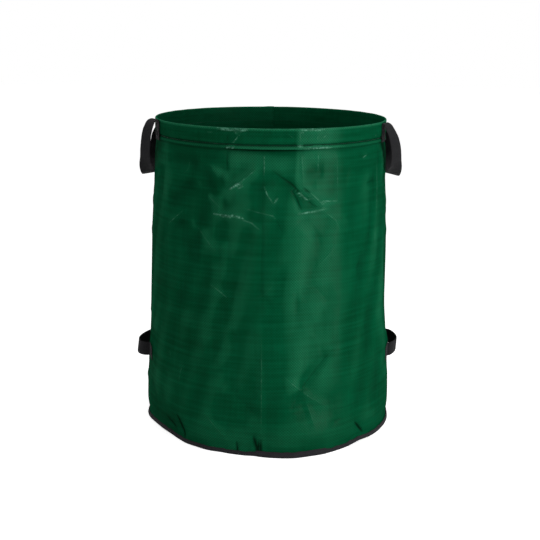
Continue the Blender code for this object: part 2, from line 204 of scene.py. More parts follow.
def cells(rows: int, columns: int, closed: bool = False) -> np.ndarray:
    """Quads of a grid of points that are numbered row by row.

    Args:
        rows: Rows of points.
        columns: Points in a row.
        closed: Whether the last column joins the first.

    Returns:
        Quads, wound from the column step to the row step.
    """
    row = np.arange(rows - 1)[:, None] * columns
    column = np.arange(columns if closed else columns - 1)[None, :]
    after = (column + 1) % columns
    low, high = row + column, row + after
    return np.stack([low, high, high + columns, low + columns], axis=-1).reshape(-1, 4)


def make_piece(name: str, points: np.ndarray, quads: np.ndarray, uvs: np.ndarray, finish: Material,
               values: dict[str, np.ndarray] | None = None) -> Piece:
    """Put points and quads into a smooth-shaded mesh object with a UV map.

    The piece is a closed body. Its volume is the sum over the quads of their area vectors times their
    middles, and where that comes out negative the quads are turned round, so that all face outward.

    Args:
        name: Name of the piece.
        points: Places, one row each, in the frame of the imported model.
        quads: Four point numbers a row.
        uvs: A UV place for each point, in metres.
        finish: Its material.
        values: Attributes by name, one number a point.

    Returns:
        The object, linked to the scene.
    """
    a, b, c, d = (points[quads[:, k]] for k in range(4))
    if np.sum(np.cross(a - c, b - d) * (a + b + c + d)) < 0:
        quads = quads[:, ::-1]
    mesh = bpy.data.meshes.new(name)
    mesh.vertices.add(len(points))
    mesh.vertices.foreach_set("co", points.astype(np.float32).ravel())
    mesh.loops.add(quads.size)
    mesh.loops.foreach_set("vertex_index", quads.astype(np.int32).ravel())
    mesh.polygons.add(len(quads))
    mesh.polygons.foreach_set("loop_start", np.arange(0, quads.size, 4, dtype=np.int32))
    layer = mesh.uv_layers.new(name="UVMap")
    layer.data.foreach_set("uv", uvs[quads.ravel()].astype(np.float32).ravel())
    for key, numbers in (values or {}).items():
        attribute = mesh.attributes.new(key, "FLOAT", "POINT")
        attribute.data.foreach_set("value", numbers.astype(np.float32).ravel())
    mesh.update(calc_edges=True)
    mesh.validate()
    mesh.shade_smooth()
    mesh.materials.append(finish)
    piece = bpy.data.objects.new(name, mesh)
    bpy.context.scene.collection.objects.link(piece)
    return piece


def cloth_shell(middle: np.ndarray, thickness: float, closed: bool, capped: bool = False
                ) -> tuple[np.ndarray, np.ndarray]:
    """Give a grid of points a thickness: the grid pushed half of it each way, and joined edges.

    Args:
        middle: Grid of points, rows by columns.
        thickness: Thickness of the cloth.
        closed: Whether the last column joins the first.
        capped: Whether the first row is a small ring that is closed over on both faces.

    Returns:
        Points of both faces, one after the other, and the quads of the closed body.
    """
    rows, columns = middle.shape[:2]
    if closed:
        push = normals_of(np.concatenate([middle[:, -1:], middle, middle[:, :1]], axis=1))[:, 1:-1]
    else:
        push = normals_of(middle)
    points = np.concatenate([(middle + push * thickness / 2).reshape(-1, 3),
                             (middle - push * thickness / 2).reshape(-1, 3)])
    count = rows * columns
    outer = cells(rows, columns, closed)
    quads = [outer, outer[:, ::-1] + count]
    along = np.arange(columns if closed else columns - 1)
    after = (along + 1) % columns
    if capped:
        k = np.arange(columns // 2 - 1)
        cap = np.stack([columns - 1 - k, columns - 2 - k, k + 1, k], axis=1)
        quads += [cap, cap[:, ::-1] + count]
    else:
        quads.append(np.stack([along + count, after + count, after, along], axis=1))
    last = (rows - 1) * columns
    quads.append(np.stack([last + along, last + after, last + after + count, last + along + count], axis=1))
    if not closed:
        up = np.arange(rows - 1) * columns
        down = up + columns
        quads.append(np.stack([up, down, down + count, up + count], axis=1))
        up, down = up + columns - 1, down + columns - 1
        quads.append(np.stack([up + count, down + count, down, up], axis=1))
    return points, np.concatenate(quads)


def fixed(piece: Piece, node: str) -> Piece:
    """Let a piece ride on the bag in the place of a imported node.

    Args:
        piece: The piece.
        node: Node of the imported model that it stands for.

    Returns:
        The same piece.
    """
    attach(piece, "bag")
    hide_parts(node)
    return piece


class Bench:
    """Lays out and links the nodes of one material or world."""

    def __init__(self, owner: Material | bpy.types.World) -> None:
        """Start with no nodes.

        Args:
            owner: What the nodes are for.
        """
        self.owner = owner
        owner.use_nodes = True
        self.tree = owner.node_tree
        self.tree.nodes.clear()

    def node(self, kind: str, inputs: dict | None = None, **settings: object) -> bpy.types.Node:
        """Add a node.

        Args:
            kind: Name of the node after "ShaderNode".
            inputs: Value or linked socket of each input, by the input's name or number.
            **settings: The node's own settings.

        Returns:
            The node.
        """
        made = self.tree.nodes.new("ShaderNode" + kind)
        for name, value in settings.items():
            setattr(made, name, value)
        for name, value in (inputs or {}).items():
            if isinstance(value, Socket):
                self.tree.links.new(value, made.inputs[name])
            else:
                made.inputs[name].default_value = value
        return made

    def math(self, operation: str, first: object, second: object = 0.0) -> Socket:
        """Result of one sum on two values or sockets."""
        return self.node("Math", {0: first, 1: second}, operation=operation).outputs[0]

    def times(self, first: object, second: object) -> Socket:
        """Product of two values or sockets."""
        return self.math("MULTIPLY", first, second)

    def plus(self, first: object, second: object) -> Socket:
        """Sum of two values or sockets."""
        return self.math("ADD", first, second)

    def sine(self, value: object) -> Socket:
        """Sine of a value in radians."""
        return self.math("SINE", value)

    def fading(self, distance: object, width: float) -> Socket:
        """Share that falls off with a distance: exp(-distance / width)."""
        return self.math("EXPONENT", self.times(distance, -1.0 / width))

    def blend(self, share: object, low: object, high: object) -> Socket:
        """Colour that goes from low to high as the share goes from 0 to 1."""
        return self.node("Mix", {0: share, 6: low, 7: high}, data_type="RGBA").outputs[2]

    def ranged(self, value: object, span: tuple, result: tuple = (0.0, 1.0)) -> Socket:
        """Value taken from one span to another, and kept inside it."""
        return self.node("MapRange", {"Value": value, "From Min": span[0], "From Max": span[1],
                                      "To Min": result[0], "To Max": result[1]}).outputs[0]

    def bumps(self, *layers: tuple[Socket, float, float]) -> Socket:
        """Normal bent by several heights, each over the one before.

        Args:
            *layers: For each, the height, its distance in metres and its strength.

        Returns:
            The bent normal.
        """
        under: dict[str, Socket] = {}
        for height, distance, strength in layers:
            bump = self.node("Bump", {"Height": height, "Distance": distance, "Strength": strength, **under})
            under = {"Normal": bump.outputs[0]}
        return under["Normal"]

    def noise(self, vector: object, scale: float, detail: float, roughness: float = 0.5) -> Socket:
        """Value of a noise, about 0.5 on average."""
        return self.node("TexNoise", {"Vector": vector, "Scale": scale, "Detail": detail,
                                      "Roughness": roughness}).outputs[0]

    def streaks(self, vector: object, scale: tuple[float, float, float], turn: float = 0.0) -> Socket:
        """Noise drawn out into streaks: its vector turned and scaled unevenly."""
        drawn = self.node("Mapping", {"Vector": vector, "Rotation": (0, 0, turn), "Scale": scale}).outputs[0]
        return self.noise(drawn, 1.0, 2.0, 0.6)

    def attribute(self, name: str) -> Socket:
        """A value that the mesh carries at its points."""
        return self.node("Attribute", attribute_name=name).outputs["Fac"]

    def uv(self) -> tuple[Socket, Socket, Socket]:
        """The UV map in metres.

        Returns:
            The map as a vector, and its two parts.
        """
        vector = self.node("UVMap", uv_map="UVMap").outputs[0]
        parts = self.node("SeparateXYZ", {0: vector})
        return vector, parts.outputs[0], parts.outputs[1]

    def seen(self) -> Socket:
        """Whether a ray comes from the camera, a mirror or glass."""
        path = self.node("LightPath").outputs
        other = self.math("MAXIMUM", path["Is Glossy Ray"], path["Is Transmission Ray"])
        return self.math("MAXIMUM", path["Is Camera Ray"], other)

    def finished(self, shader: bpy.types.Node, output: str = "OutputMaterial") -> Material | bpy.types.World:
        """Link the shader to the output and hand over what the nodes are for."""
        self.tree.links.new(shader.outputs[0], self.node(output).inputs[0])
        return self.owner

    def surface(self, tint: object, rough: object, normal: Socket, others: dict[str, object]) -> Material:
        """Finish with a principled surface.

        Args:
            tint: Its base colour.
            rough: Its roughness.
            normal: Its bent normal.
            others: Its other inputs by name.

        Returns:
            The material.
        """
        inputs = {"Base Color": tint, "Roughness": rough, "Normal": normal, **others}
        return self.finished(self.node("BsdfPrincipled", inputs))


def material_bench(name: str) -> Bench:
    """Bench of a new material of that name."""
    return Bench(bpy.data.materials.new(name))


def colour(red: float, green: float, blue: float) -> tuple[float, float, float, float]:
    """A linear colour from display values: the sRGB curve undone.

    Args:
        red: Red from 0 to 255.
        green: Green.
        blue: Blue.

    Returns:
        The linear colour with an alpha of 1.
    """
    shares = [value / 255 for value in (red, green, blue)]
    linear = [share / 12.92 if share <= 0.04045 else ((share + 0.055) / 1.055) ** 2.4 for share in shares]
    return (*linear, 1.0)


@dataclass(frozen=True)
class CoatedWeave:
    """Green cloth woven of flat plastic tapes under a thin clear coating."""

    name: str = "green_coated_weave"
    dark: tuple = colour(0, 52, 28)
    light: tuple = colour(0, 66, 39)
    weave_and_highlight_tint: tuple = colour(12, 100, 66)  # tops of the tapes, with a painted highlight where the mesh carries painted light
    wear_and_glint_tint: tuple = colour(96, 158, 132)  # whitening on the ridges, with painted glints
    deep: tuple = colour(0, 22, 10)  # shade in the valleys
    painted_highlight_tint: tuple = colour(48, 114, 82)  # painted sheen and painted highlights
    tape: float = 0.0036  # width of one tape
    fold_width: float = 0.0023  # distance over which a fold's line fades
    shade_width: float = 0.0023 / 0.45  # distance over which its shade fades
    ragged: float = 0.0026  # how far the line wanders
    shift: float = 0.03  # how far the facets' pattern is drawn out of shape

    def make(self) -> Material:
        """Plain weave, uneven tapes, crackled facets and the lines of sharp folds.

        The weave is sin(pi * u / tape) * sin(pi * v / tape), brought to 0 to 1. A fold's line is
        exp(-gap / fold_width) times its pull, with the gap made ragged by noise: whitening and a painted
        glint along a ridge, painted shade along a valley. The mesh carries the gap and the pull, and the
        painted light and shade of the cloth.

        Returns:
            The material.
        """
        bench = material_bench(self.name)
        vector, u, v = bench.uv()
        across, along = (bench.sine(bench.times(part, math.pi / self.tape)) for part in (u, v))
        weave = bench.plus(bench.times(bench.times(across, along), 0.5), 0.5)
        weft = bench.streaks(vector, (4.0, 95.0, 1.0), -0.05)
        warp = bench.streaks(vector, (120.0, 5.0, 1.0))
        slanted = bench.streaks(vector, (150.0, 22.0, 1.0), 0.12)
        colours = bench.node("TexNoise", {"Vector": vector, "Scale": 9.0, "Detail": 3.0}).outputs[1]
        scaled = bench.node("VectorMath", {0: colours, "Scale": self.shift}, operation="SCALE").outputs[0]
        shifted = bench.node("VectorMath", {0: vector, 1: scaled}, operation="ADD").outputs[0]
        facets = bench.node("TexVoronoi", {"Vector": shifted, "Scale": 22.0}, feature="F1").outputs[0]
        fine = bench.noise(shifted, 75.0, 4.0, 0.6)
        patches = bench.noise(vector, 5.0, 6.0, 0.6)

        wander = bench.times(bench.math("SUBTRACT", bench.noise(vector, 90.0, 2.0, 0.6), 0.5), self.ragged)
        off = bench.math("ABSOLUTE", bench.plus(bench.attribute("fold_gap"), wander))
        pull = bench.attribute("fold_pull")
        folds = bench.times(bench.fading(off, self.fold_width), pull)
        shade = bench.times(bench.fading(off, self.shade_width), pull)

        banded = bench.plus(weft, bench.plus(warp, slanted))
        woven = bench.bumps((facets, 0.0034, 0.8), (fine, 0.0011, 0.8), (banded, 0.0004, 0.8),
                            (folds, 0.0018, 1.0), (weave, 0.00026, 1.0))
        coated = bench.bumps((facets, 0.0012, 0.8), (fine, 0.0006, 0.8), (slanted, 0.0003, 0.8),
                             (folds, 0.0014, 1.0), (weave, 0.00022, 1.0))

        tint = bench.blend(bench.ranged(patches, (0.35, 0.7)), self.dark, self.light)
        light = bench.attribute("painted_lighting")
        # The weave's pattern, with a painted highlight that grows with the painted light of the mesh
        weave_and_highlight_share = bench.times(bench.ranged(weave, (0.15, 0.85), (0.0, 0.26)),
                           bench.ranged(light, (0.02, 0.20), (0.75, 3.5)))
        uneven = bench.ranged(bench.plus(weft, bench.times(warp, 0.35)), (0.5, 0.9), (-0.07, 0.15))
        tint = bench.blend(bench.plus(weave_and_highlight_share, uneven), tint, self.weave_and_highlight_tint)
        # Painted light and shade from the mesh: painted sheen and highlights lighten the tint, painted shade
        # darkens it
        tint = bench.blend(bench.ranged(light, (0.0, 1.0)), tint, self.painted_highlight_tint)
        tint = bench.blend(bench.ranged(light, (0.0, -1.0)), tint, self.deep)
        # Lines along the ridges, made grainy: whitening of the coating, with painted glints
        grain = bench.times(bench.noise(vector, 210.0, 3.0, 0.6), bench.ranged(fine, (0.3, 0.6), (0.5, 1.1)))
        wear_and_glint_share = bench.times(bench.ranged(folds, (0.12, 1.0)), bench.ranged(grain, (0.36, 0.60), (0.12, 1.0)))
        tint = bench.blend(wear_and_glint_share, tint, self.wear_and_glint_tint)
        tint = bench.blend(bench.ranged(shade, (-0.15, -0.9), (0.0, 0.85)), tint, self.deep)
        return bench.surface(tint, bench.ranged(patches, (0.3, 0.75), (0.36, 0.46)), woven,
                             {"Specular IOR Level": 0.0, "Coat Weight": 0.0065, "Coat Roughness": 0.27,
                              "Coat IOR": 2.2, "Coat Normal": coated})


@dataclass(frozen=True)
class RibbedWebbing:
    """Black woven webbing: ribs across it, and warp threads along it."""

    name: str
    low: tuple
    high: tuple
    rib: float = 0.0021
    thread: float = 0.0016
    slant: float = 2.2  # how far a rib's phase shifts from one thread to the next

    def make(self) -> Material:
        """Herringbone: abs(sin(warp)) plus half the sine of the length, shifted by the place across.

        Returns:
            The material.
        """
        bench = material_bench(self.name)
        vector, u, v = bench.uv()
        warp = bench.sine(bench.times(u, math.pi / self.thread))
        zigzag = bench.math("PINGPONG", bench.times(u, 1 / self.thread), 1.0)
        weft = bench.sine(bench.plus(bench.times(v, 2 * math.pi / self.rib), bench.times(zigzag, self.slant)))
        height = bench.plus(bench.math("ABSOLUTE", warp), bench.times(weft, 0.5))
        fuzz = bench.noise(vector, 900.0, 3.0)
        share = bench.plus(bench.times(height, 0.45), bench.times(bench.noise(vector, 40.0, 4.0), 0.5))
        tint = bench.blend(bench.ranged(share, (0.1, 1.0)), self.low, self.high)
        return bench.surface(tint, 0.8, bench.bumps((height, 0.00035, 0.8), (fuzz, 0.0002, 0.4)),
                             {"Specular IOR Level": 0.06, "Sheen Weight": 0.02, "Sheen Roughness": 0.4})


@dataclass(frozen=True)
class TwistedThread:
    """Sewing thread: two plies that wind round each other."""

    name: str
    tint: tuple
    along: float = 5200.0  # radians of twist in a metre of thread
    round: float = 4200.0  # and in a metre round it
    gain: float = 1.9  # how much lighter the tops of the plies are

    def make(self) -> Material:
        """Slanted bands, the sine of along * v + round * u, with a little fuzz.

        Returns:
            The material.
        """
        bench = material_bench(self.name)
        vector, u, v = bench.uv()
        twist = bench.sine(bench.plus(bench.times(v, self.along), bench.times(u, self.round)))
        light = tuple(min(1.0, part * self.gain) for part in self.tint[:3]) + (1.0,)
        tint = bench.blend(bench.ranged(twist, (-1.0, 1.0)), self.tint, light)
        fuzz = bench.noise(vector, 1500.0, 2.0)
        return bench.surface(tint, 0.55, bench.bumps((twist, 0.0001, 0.6), (fuzz, 0.0001, 0.4)),
                             {"Specular IOR Level": 0.25})


@dataclass(frozen=True)
class HoopPlastic:
    """Off-white extruded strip with fine lines along it."""

    name: str = "extruded_strip"
    low: tuple = colour(196, 195, 188)
    high: tuple = colour(214, 213, 206)

    def make(self) -> Material:
        """Lines along the strip from noise squeezed in height, over a cloudy tint.

        Returns:
            The material.
        """
        bench = material_bench(self.name)
        place = bench.node("TexCoord").outputs["Object"]
        squeezed = bench.node("Mapping", {"Vector": place, "Scale": (4.0, 4.0, 900.0)}).outputs[0]
        lines = bench.noise(squeezed, 1.0, 2.0)
        tint = bench.blend(bench.ranged(bench.noise(place, 12.0, 4.0), (0.3, 0.7)), self.low, self.high)
        return bench.surface(tint, bench.ranged(lines, (0.3, 0.7), (0.38, 0.5)),
                             bench.bumps((lines, 0.0001, 0.4)), {})


@dataclass(frozen=True)
class StudioPaint:
    """Matt white of the floor, which shows white to the camera outside the bag's shadow."""

    name: str = "studio_white"
    albedo: float = 0.8
    lift: float = 0.72

    def make(self) -> Material:
        """Matt paint, plus light of its own for rays from the camera, mirrors and glass only."""
        bench = material_bench(self.name)
        matt = bench.node("BsdfDiffuse", {"Color": (self.albedo, self.albedo, self.albedo, 1.0)})
        glow = bench.node("Emission", {"Color": (1.0, 1.0, 1.0, 1.0),
                                       "Strength": bench.times(bench.seen(), self.lift)})
        return bench.finished(bench.node("AddShader", {0: matt.outputs[0], 1: glow.outputs[0]}))


@dataclass(frozen=True)
class Crease:
    """A sharp fold in the wall, from place to place, each an arc and a height in metres."""

    fold: Fold
    depth: float
    reach: float  # how far its flanks slope on each side
    lean: float  # how much wider the flank on its right-hand side is
    line: float  # strength of its painted line: whitening and painted glint on a ridge, painted shade in a valley
    way: tuple[tuple[float, float], ...]
    line_reach: float = 0.0085  # distance over which the line fades

    def shape(self, arc: np.ndarray, height: np.ndarray) -> tuple[np.ndarray, np.ndarray, np.ndarray]:
        """Push on the wall, a tent over the way that is deepest in the middle of it, and its painted line.

        Args:
            arc: Arc of each point.
            height: Height of each point.

        Returns:
            Each point's distance outward, its signed gap to the way, and the line's signed strength.
        """
        way = np.asarray(self.way, float)
        starts = way_along(way)
        best = np.full(arc.shape, np.inf)
        along, right = np.zeros(arc.shape), np.ones(arc.shape)
        for k, step in enumerate(np.diff(starts)):
            heading = (way[k + 1] - way[k]) / step
            off_u, off_v = arc - way[k, 0], height - way[k, 1]
            t = np.clip(off_u * heading[0] + off_v * heading[1], 0.0, step)
            gap_u, gap_v = off_u - t * heading[0], off_v - t * heading[1]
            gap = np.hypot(gap_u, gap_v)
            nearer = gap < best
            best = np.where(nearer, gap, best)
            along = np.where(nearer, starts[k] + t, along)
            right = np.where(nearer, np.where(gap_u * heading[1] - gap_v * heading[0] < 0, -1.0, 1.0), right)
        flank = self.reach * np.where(right > 0, 1 + self.lean, 1 - self.lean)
        tent = np.clip(1 - best / flank, 0.0, 1.0)
        tent = tent * (0.5 + 0.5 * tent)
        fade = np.maximum(np.sin(math.pi * np.clip(along / starts[-1], 0.0, 1.0)), 0.0) ** 0.6
        strength = self.fold.value * self.line * fade * bell(best, 0.0, self.line_reach)
        return self.fold.value * self.depth * tent * fade, best * right, strength


def creases_of(rows: tuple) -> list[Crease]:
    """Creases from rows of fold, depth, reach, lean, line and places, with lengths in millimetres."""
    return [Crease(fold, depth * MM, reach * MM, lean, line, tuple((x * MM, y * MM) for x, y in way))
            for fold, depth, reach, lean, line, *way in rows]


def fine_lines(creases: list[Crease], arc: np.ndarray, height: np.ndarray) -> tuple[np.ndarray, np.ndarray]:
    """The strongest fine line at each point.

    Args:
        creases: The creases to look through.
        arc: Arc of each point.
        height: Height of each point.

    Returns:
        The signed gap to that line, and its signed strength.
    """
    gap, pull = np.full(arc.shape, 0.05), np.zeros(arc.shape)
    for crease in creases:
        _, off, strength = crease.shape(arc, height)
        stronger = np.abs(strength) > np.abs(pull)
        gap, pull = np.where(stronger, off, gap), np.where(stronger, strength, pull)
    return gap, pull


RIDGE, VALLEY = Fold.RIDGE, Fold.VALLEY

# Creases that show on the front: fold, depth, reach, lean, line (whitening and painted glint on a ridge,
# painted shade in a valley), and the way's arcs and heights, with lengths in millimetres
FRONT_CREASES = (
    (VALLEY, 4, 12, 0, 1.3, (-160, 807.5), (-20, 808), (120, 807.8)),
    (VALLEY, 1, 10, 0, 0.5, (-700, 807), (0, 807.2), (700, 807)),
    (VALLEY, 2.2, 16, 0.3, 0.2, (-20, 812), (-21, 720), (-18, 620), (-21, 500), (-18, 360)),
    (RIDGE, 1, 6, 0, 0.5, (-17, 806), (-16, 770), (-16, 735)),
    (RIDGE, 2, 12, 0.5, 0.4, (83, 806), (87, 765), (90, 718)),
    (VALLEY, 1, 8, 0, 0.4, (78, 800), (83, 740)),
    (VALLEY, 1.4, 10, 0, 0.3, (140, 800), (138, 770), (146, 735)),
    (RIDGE, 3.4, 20, 0, 0.15, (-205, 800), (-196, 770), (-176, 748)),
    (VALLEY, 1.6, 10, 0, 0.3, (-130, 690), (-122, 665), (-100, 655)),
    (RIDGE, 2.2, 12, 0, 0.4, (-75, 660), (-30, 648), (10, 640), (30, 612)),
    (VALLEY, 1.8, 10, 0, 0.35, (12, 640), (28, 610), (34, 590)),
    (RIDGE, 2, 14, 0, 0.35, (150, 648), (185, 622), (200, 590)),
    (RIDGE, 1.8, 14, 0.2, 0.3, (-17, 360), (-18, 200), (-16, 20)),
    (VALLEY, 2.6, 16, 0.4, 0.5, (-120, 806), (-118, 745)),
    (RIDGE, 4.6, 26, -0.3, 0.5, (-30, 765), (-60, 740), (-110, 700)),
    (RIDGE, 1.2, 10, 0, 1.7, (-78, 725), (-111, 703)),
    (RIDGE, 0.6, 8, 0, 1.4, (-68, 717), (-90, 707)),
    (RIDGE, 3.2, 22, 0, 0.2, (-190, 785), (-165, 762), (-135, 740)),
    (VALLEY, 5, 26, 0.3, 0.9, (0, 760), (32, 738), (60, 720), (88, 690), (115, 668), (150, 648)),
    (VALLEY, 3.4, 16, 0, 0.8, (55, 710), (73, 684), (90, 645)),
    (RIDGE, 1.8, 12, 0, 1.1, (63, 716), (73, 702), (98, 682), (118, 670)),
    (VALLEY, 1.4, 10, 0, 0.8, (87, 713), (115, 693)),
    (RIDGE, 3.6, 20, 0, 0.5, (84, 716), (125, 686), (168, 646)),
    (RIDGE, 2.4, 14, 0, 1.1, (70, 643), (125, 648), (158, 652)),
    (RIDGE, 2.4, 14, 0, 0.55, (134, 675), (196, 671)),
    (RIDGE, 2.8, 13, 0, 0.7, (-16, 718), (-7, 695), (10, 671)),
    (RIDGE, 1.8, 10, 0, 0.8, (9, 670), (24, 689)),
    (RIDGE, 4, 18, 0.2, 0.6, (-152, 637), (-100, 637), (-45, 620), (-18, 596)),
    (RIDGE, 0.6, 8, 0, 1.1, (-158, 638), (-136, 637)),
    (RIDGE, 1.2, 10, 0, 3, (-138, 636.5), (-120, 635), (-96, 633.5)),
    (RIDGE, 1, 10, 0, 1.7, (-112, 639), (-90, 636.5), (-66, 631.5)),
    (RIDGE, 3.2, 22, 0, 0.35, (-230, 603), (-200, 593), (-175, 570), (-135, 530)),
    (VALLEY, 3.2, 22, 0, 0.2, (-255, 718), (-210, 696), (-170, 687)),
    (RIDGE, 3.6, 18, 0, 0.4, (-320, 590), (-275, 622), (-250, 642)),
    (RIDGE, 2.6, 13, 0, 0.45, (-165, 452), (-140, 440), (-105, 414)),
    (VALLEY, 2.4, 18, 0, 0.2, (-335, 403), (-250, 397), (-160, 389)),
    (RIDGE, 4.2, 22, 0.2, 0.34, (25, 230), (50, 204), (105, 157), (165, 117)),
    (VALLEY, 4, 22, 0.3, 0.4, (200, 295), (158, 257), (90, 180), (56, 120)),
    (RIDGE, 2.4, 12, 0, 0.24, (98, 150), (110, 110), (120, 70)),
    (VALLEY, 4, 12, 0, 1.5, (243, 62), (264, 39), (290, 15)),
    (RIDGE, 2.6, 14, 0, 0.26, (-172, 104), (-140, 72), (-102, 36)),
    (VALLEY, 4.4, 12, 0, 1.4, (-37, 60), (-27, 22), (-21, -20)),
    (VALLEY, 1.8, 7, 0.6, 1.2, (-17, 52), (-17, -30)),
    (VALLEY, 3, 12, 0, 1.1, (-80, 40), (-74, -20)),
    (VALLEY, 3.6, 14, 0, 1.1, (-332, 46), (-307, 36), (-288, 27), (-280, 18)),
    (VALLEY, 4, 14, 0, 1.5, (-276, 74), (-256, 48), (-244, 32), (-242, 4)),
    (RIDGE, 2.2, 10, 0, 0.5, (-266, 46), (-254, 34), (-251, 22)),
    (VALLEY, 3, 14, 0, 0.5, (298, 708), (360, 714)),
    (RIDGE, 2.6, 14, 0, 0.5, (283, 776), (312, 786)),
    (RIDGE, 3.4, 30, 0, 0.2, (403, 800), (414, 650), (402, 480), (401, 310), (380, 240)),
    (RIDGE, 2.4, 14, 0, 0.4, (370, 780), (366, 690), (352, 600)),
    (VALLEY, 2.4, 16, 0, 0.3, (330, 700), (322, 580), (300, 500)),
    (RIDGE, 2, 12, 0, 0.4, (130, 812), (134, 745)),
    (RIDGE, 2, 14, 0, 0.3, (190, 812), (193, 670)),
    (VALLEY, 2, 16, 0, 0.2, (-200, 640), (-203, 480)))

# Creases of the hem, in the same form, painted as bright and dark bands: whitening and painted glints along
# the ridges, painted shade along the valleys; those of no depth are only painted lines, shade at the stitches
# and highlights below them and along the lip
HEM_CREASES = (
    (RIDGE, 1.2, 12, 0.3, 0.35, (77, 872), (78, 812)),
    (RIDGE, 1, 10, 0, 0.3, (126, 872), (127, 812)),
    (VALLEY, 0.8, 10, 0, 0.4, (-118, 872), (-119, 806)),
    (RIDGE, 1, 9, 0, 0.7, (-84, 846), (-100, 826), (-114, 808)),
    (VALLEY, 0.6, 9, 0, 0.3, (-18, 872), (-18, 808)),
    (RIDGE, 0.5, 4, 0, 2.6, (-150, 859.5), (-100, 858.8), (-55, 859.2)),
    (RIDGE, 0.6, 6, 0, 1, (-112, 862), (-92, 850), (-70, 856)),
    (RIDGE, 0.5, 4, 0, 2.4, (80, 860), (110, 860.4), (150, 860.6)),
    (VALLEY, 0, 4, 0, 0.85, (-1600, 820.4), (0, 820.4), (1600, 820.4)),
    (RIDGE, 0, 4, 0, 0.3, (-1300, 817.6), (0, 817.6), (1300, 817.6)),
    (RIDGE, 0, 4, 0, 0.28, (-1200, 811.6), (0, 811.6), (1200, 811.6)),
    (RIDGE, 0, 4, 0, 2.4, (-122, 811.2), (-96, 811.6)),
    (RIDGE, 0, 4, 0, 1.8, (70, 818.4), (90, 818.6)),
    (RIDGE, 0, 4, 0, 1.9, (80, 811.4), (175, 811.8)))


@dataclass(frozen=True)
class PaintedStroke:
    """A broad stroke of painted light or shade, by the sign of its amount, from place to place, each an arc
    and a height.
    """

    start: tuple[float, float]
    end: tuple[float, float]
    width: float  # distance over which it fades
    amount: float  # above 0 is painted light, below 0 painted shade

    def shade(self, arc: np.ndarray, height: np.ndarray) -> np.ndarray:
        """Its share at each point: amount * exp(-(gap / width) ** 2), with the gap to its middle line.

        Args:
            arc: Arc of each point.
            height: Height of each point.

        Returns:
            The share at each point.
        """
        way = np.subtract(self.end, self.start)
        off_u, off_v = arc - self.start[0], height - self.start[1]
        t = np.clip((off_u * way[0] + off_v * way[1]) / np.dot(way, way), 0.0, 1.0)
        return self.amount * bell(np.hypot(off_u - t * way[0], off_v - t * way[1]), 0.0, self.width)


# Strokes of painted light and shade on the front: start, end and width in millimetres, and amount
PAINTED_STROKE_ROWS = (
    ((-189, 773), (-127, 742), 14, 0.14), ((-248, 721), (-170, 687), 16, 0.19),
    ((-108, 688), (-107, 660), 17, 0.14), ((-290, 660), (-247, 707), 22, -0.34),
    ((-176, 750), (-154, 703), 15, -0.3), ((-300, 780), (-150, 784), 26, -0.22),
    ((-357, 799), (-340, 680), 20, 0.08), ((-250, 600), (-232, 540), 20, -0.24),
    ((-221, 607), (-176, 586), 12, 0.09), ((-101, 790), (-85, 742), 20, 0.07),
    ((100, 125), (165, 55), 45, 0.05), ((20, 360), (20, 120), 35, -0.09),
    ((-45, 560), (-45, 360), 30, -0.05), ((-60, 782), (25, 772), 32, 0.07))


def painted_strokes_of(rows: tuple) -> list[PaintedStroke]:
    """Strokes of painted light and shade from rows of start, end and width in millimetres, and amount."""
    return [PaintedStroke((a * MM, b * MM), (c * MM, d * MM), width * MM, amount)
            for (a, b), (c, d), width, amount in rows]


@dataclass(frozen=True)
class Flat:
    """A stretch of the wall that stands flatter than the round, between two slanting upright edges."""

    high: float  # height of its upper end
    low: float
    high_arcs: tuple[float, float]  # its edges at the upper end
    low_arcs: tuple[float, float]
    share: float  # 1 is as flat as a board
    soft: bool = False  # whether its right-hand edge has no fold
    fall: tuple[float, float] = (0.03, 0.24)  # drop from the upper end over which the left edge softens

    def place(self, arc: np.ndarray, height: np.ndarray) -> tuple[np.ndarray, np.ndarray]:
        """Where points are within it.

        Args:
            arc: Arc of each point.
            height: Height of each point.

        Returns:
            Half its width at each point's height, and how far the point is from its middle.
        """
        down = np.clip((self.high - height) / (self.high - self.low), 0.0, 1.0)
        left, right = (high + (low - high) * down for high, low in zip(self.high_arcs, self.low_arcs))
        return (right - left) / 2, arc - (left + right) / 2

    def stretch(self, arc: np.ndarray, height: np.ndarray) -> np.ndarray:
        """Share of the painted sheen: full at once at its left edge, and fading to the right and downward.

        Args:
            arc: Arc of each point.
            height: Height of each point.

        Returns:
            The share, from 0 to the flat's share.
        """
        half, off = self.place(arc, height)
        blur = 0.003 + 0.045 * eased(self.high - height, *self.fall)
        sides = eased((off + half) / blur, -1.0, 1.0) * (1 - eased(off, 0.2 * half, 1.1 * half))
        return self.share * sides * eased(height, self.low - 0.06, self.low + 0.12)

    def push(self, arc: np.ndarray, height: np.ndarray) -> np.ndarray:
        """Push on the wall: a share of the gap between arc and chord, (h * h - s * s) / (2 * radius).

        Args:
            arc: Arc of each point.
            height: Height of each point.

        Returns:
            The distance outward at each point, which is 0 or less.
        """
        half, off = self.place(arc, height)
        sag = np.clip(half * half - off * off, 0.0, None) / (2 * ARC_RADIUS)
        if self.soft:
            rounded = np.where(off > 0, 1.0, eased(self.high - height, *self.fall))
            sag = sag * (1 - rounded * np.clip((off / half) ** 2, 0.0, 1.0))
        ends = band(height, (self.low - 0.04, self.low + 0.04), (self.high - 0.05, self.high + 0.01))
        return -self.share * sag * ends


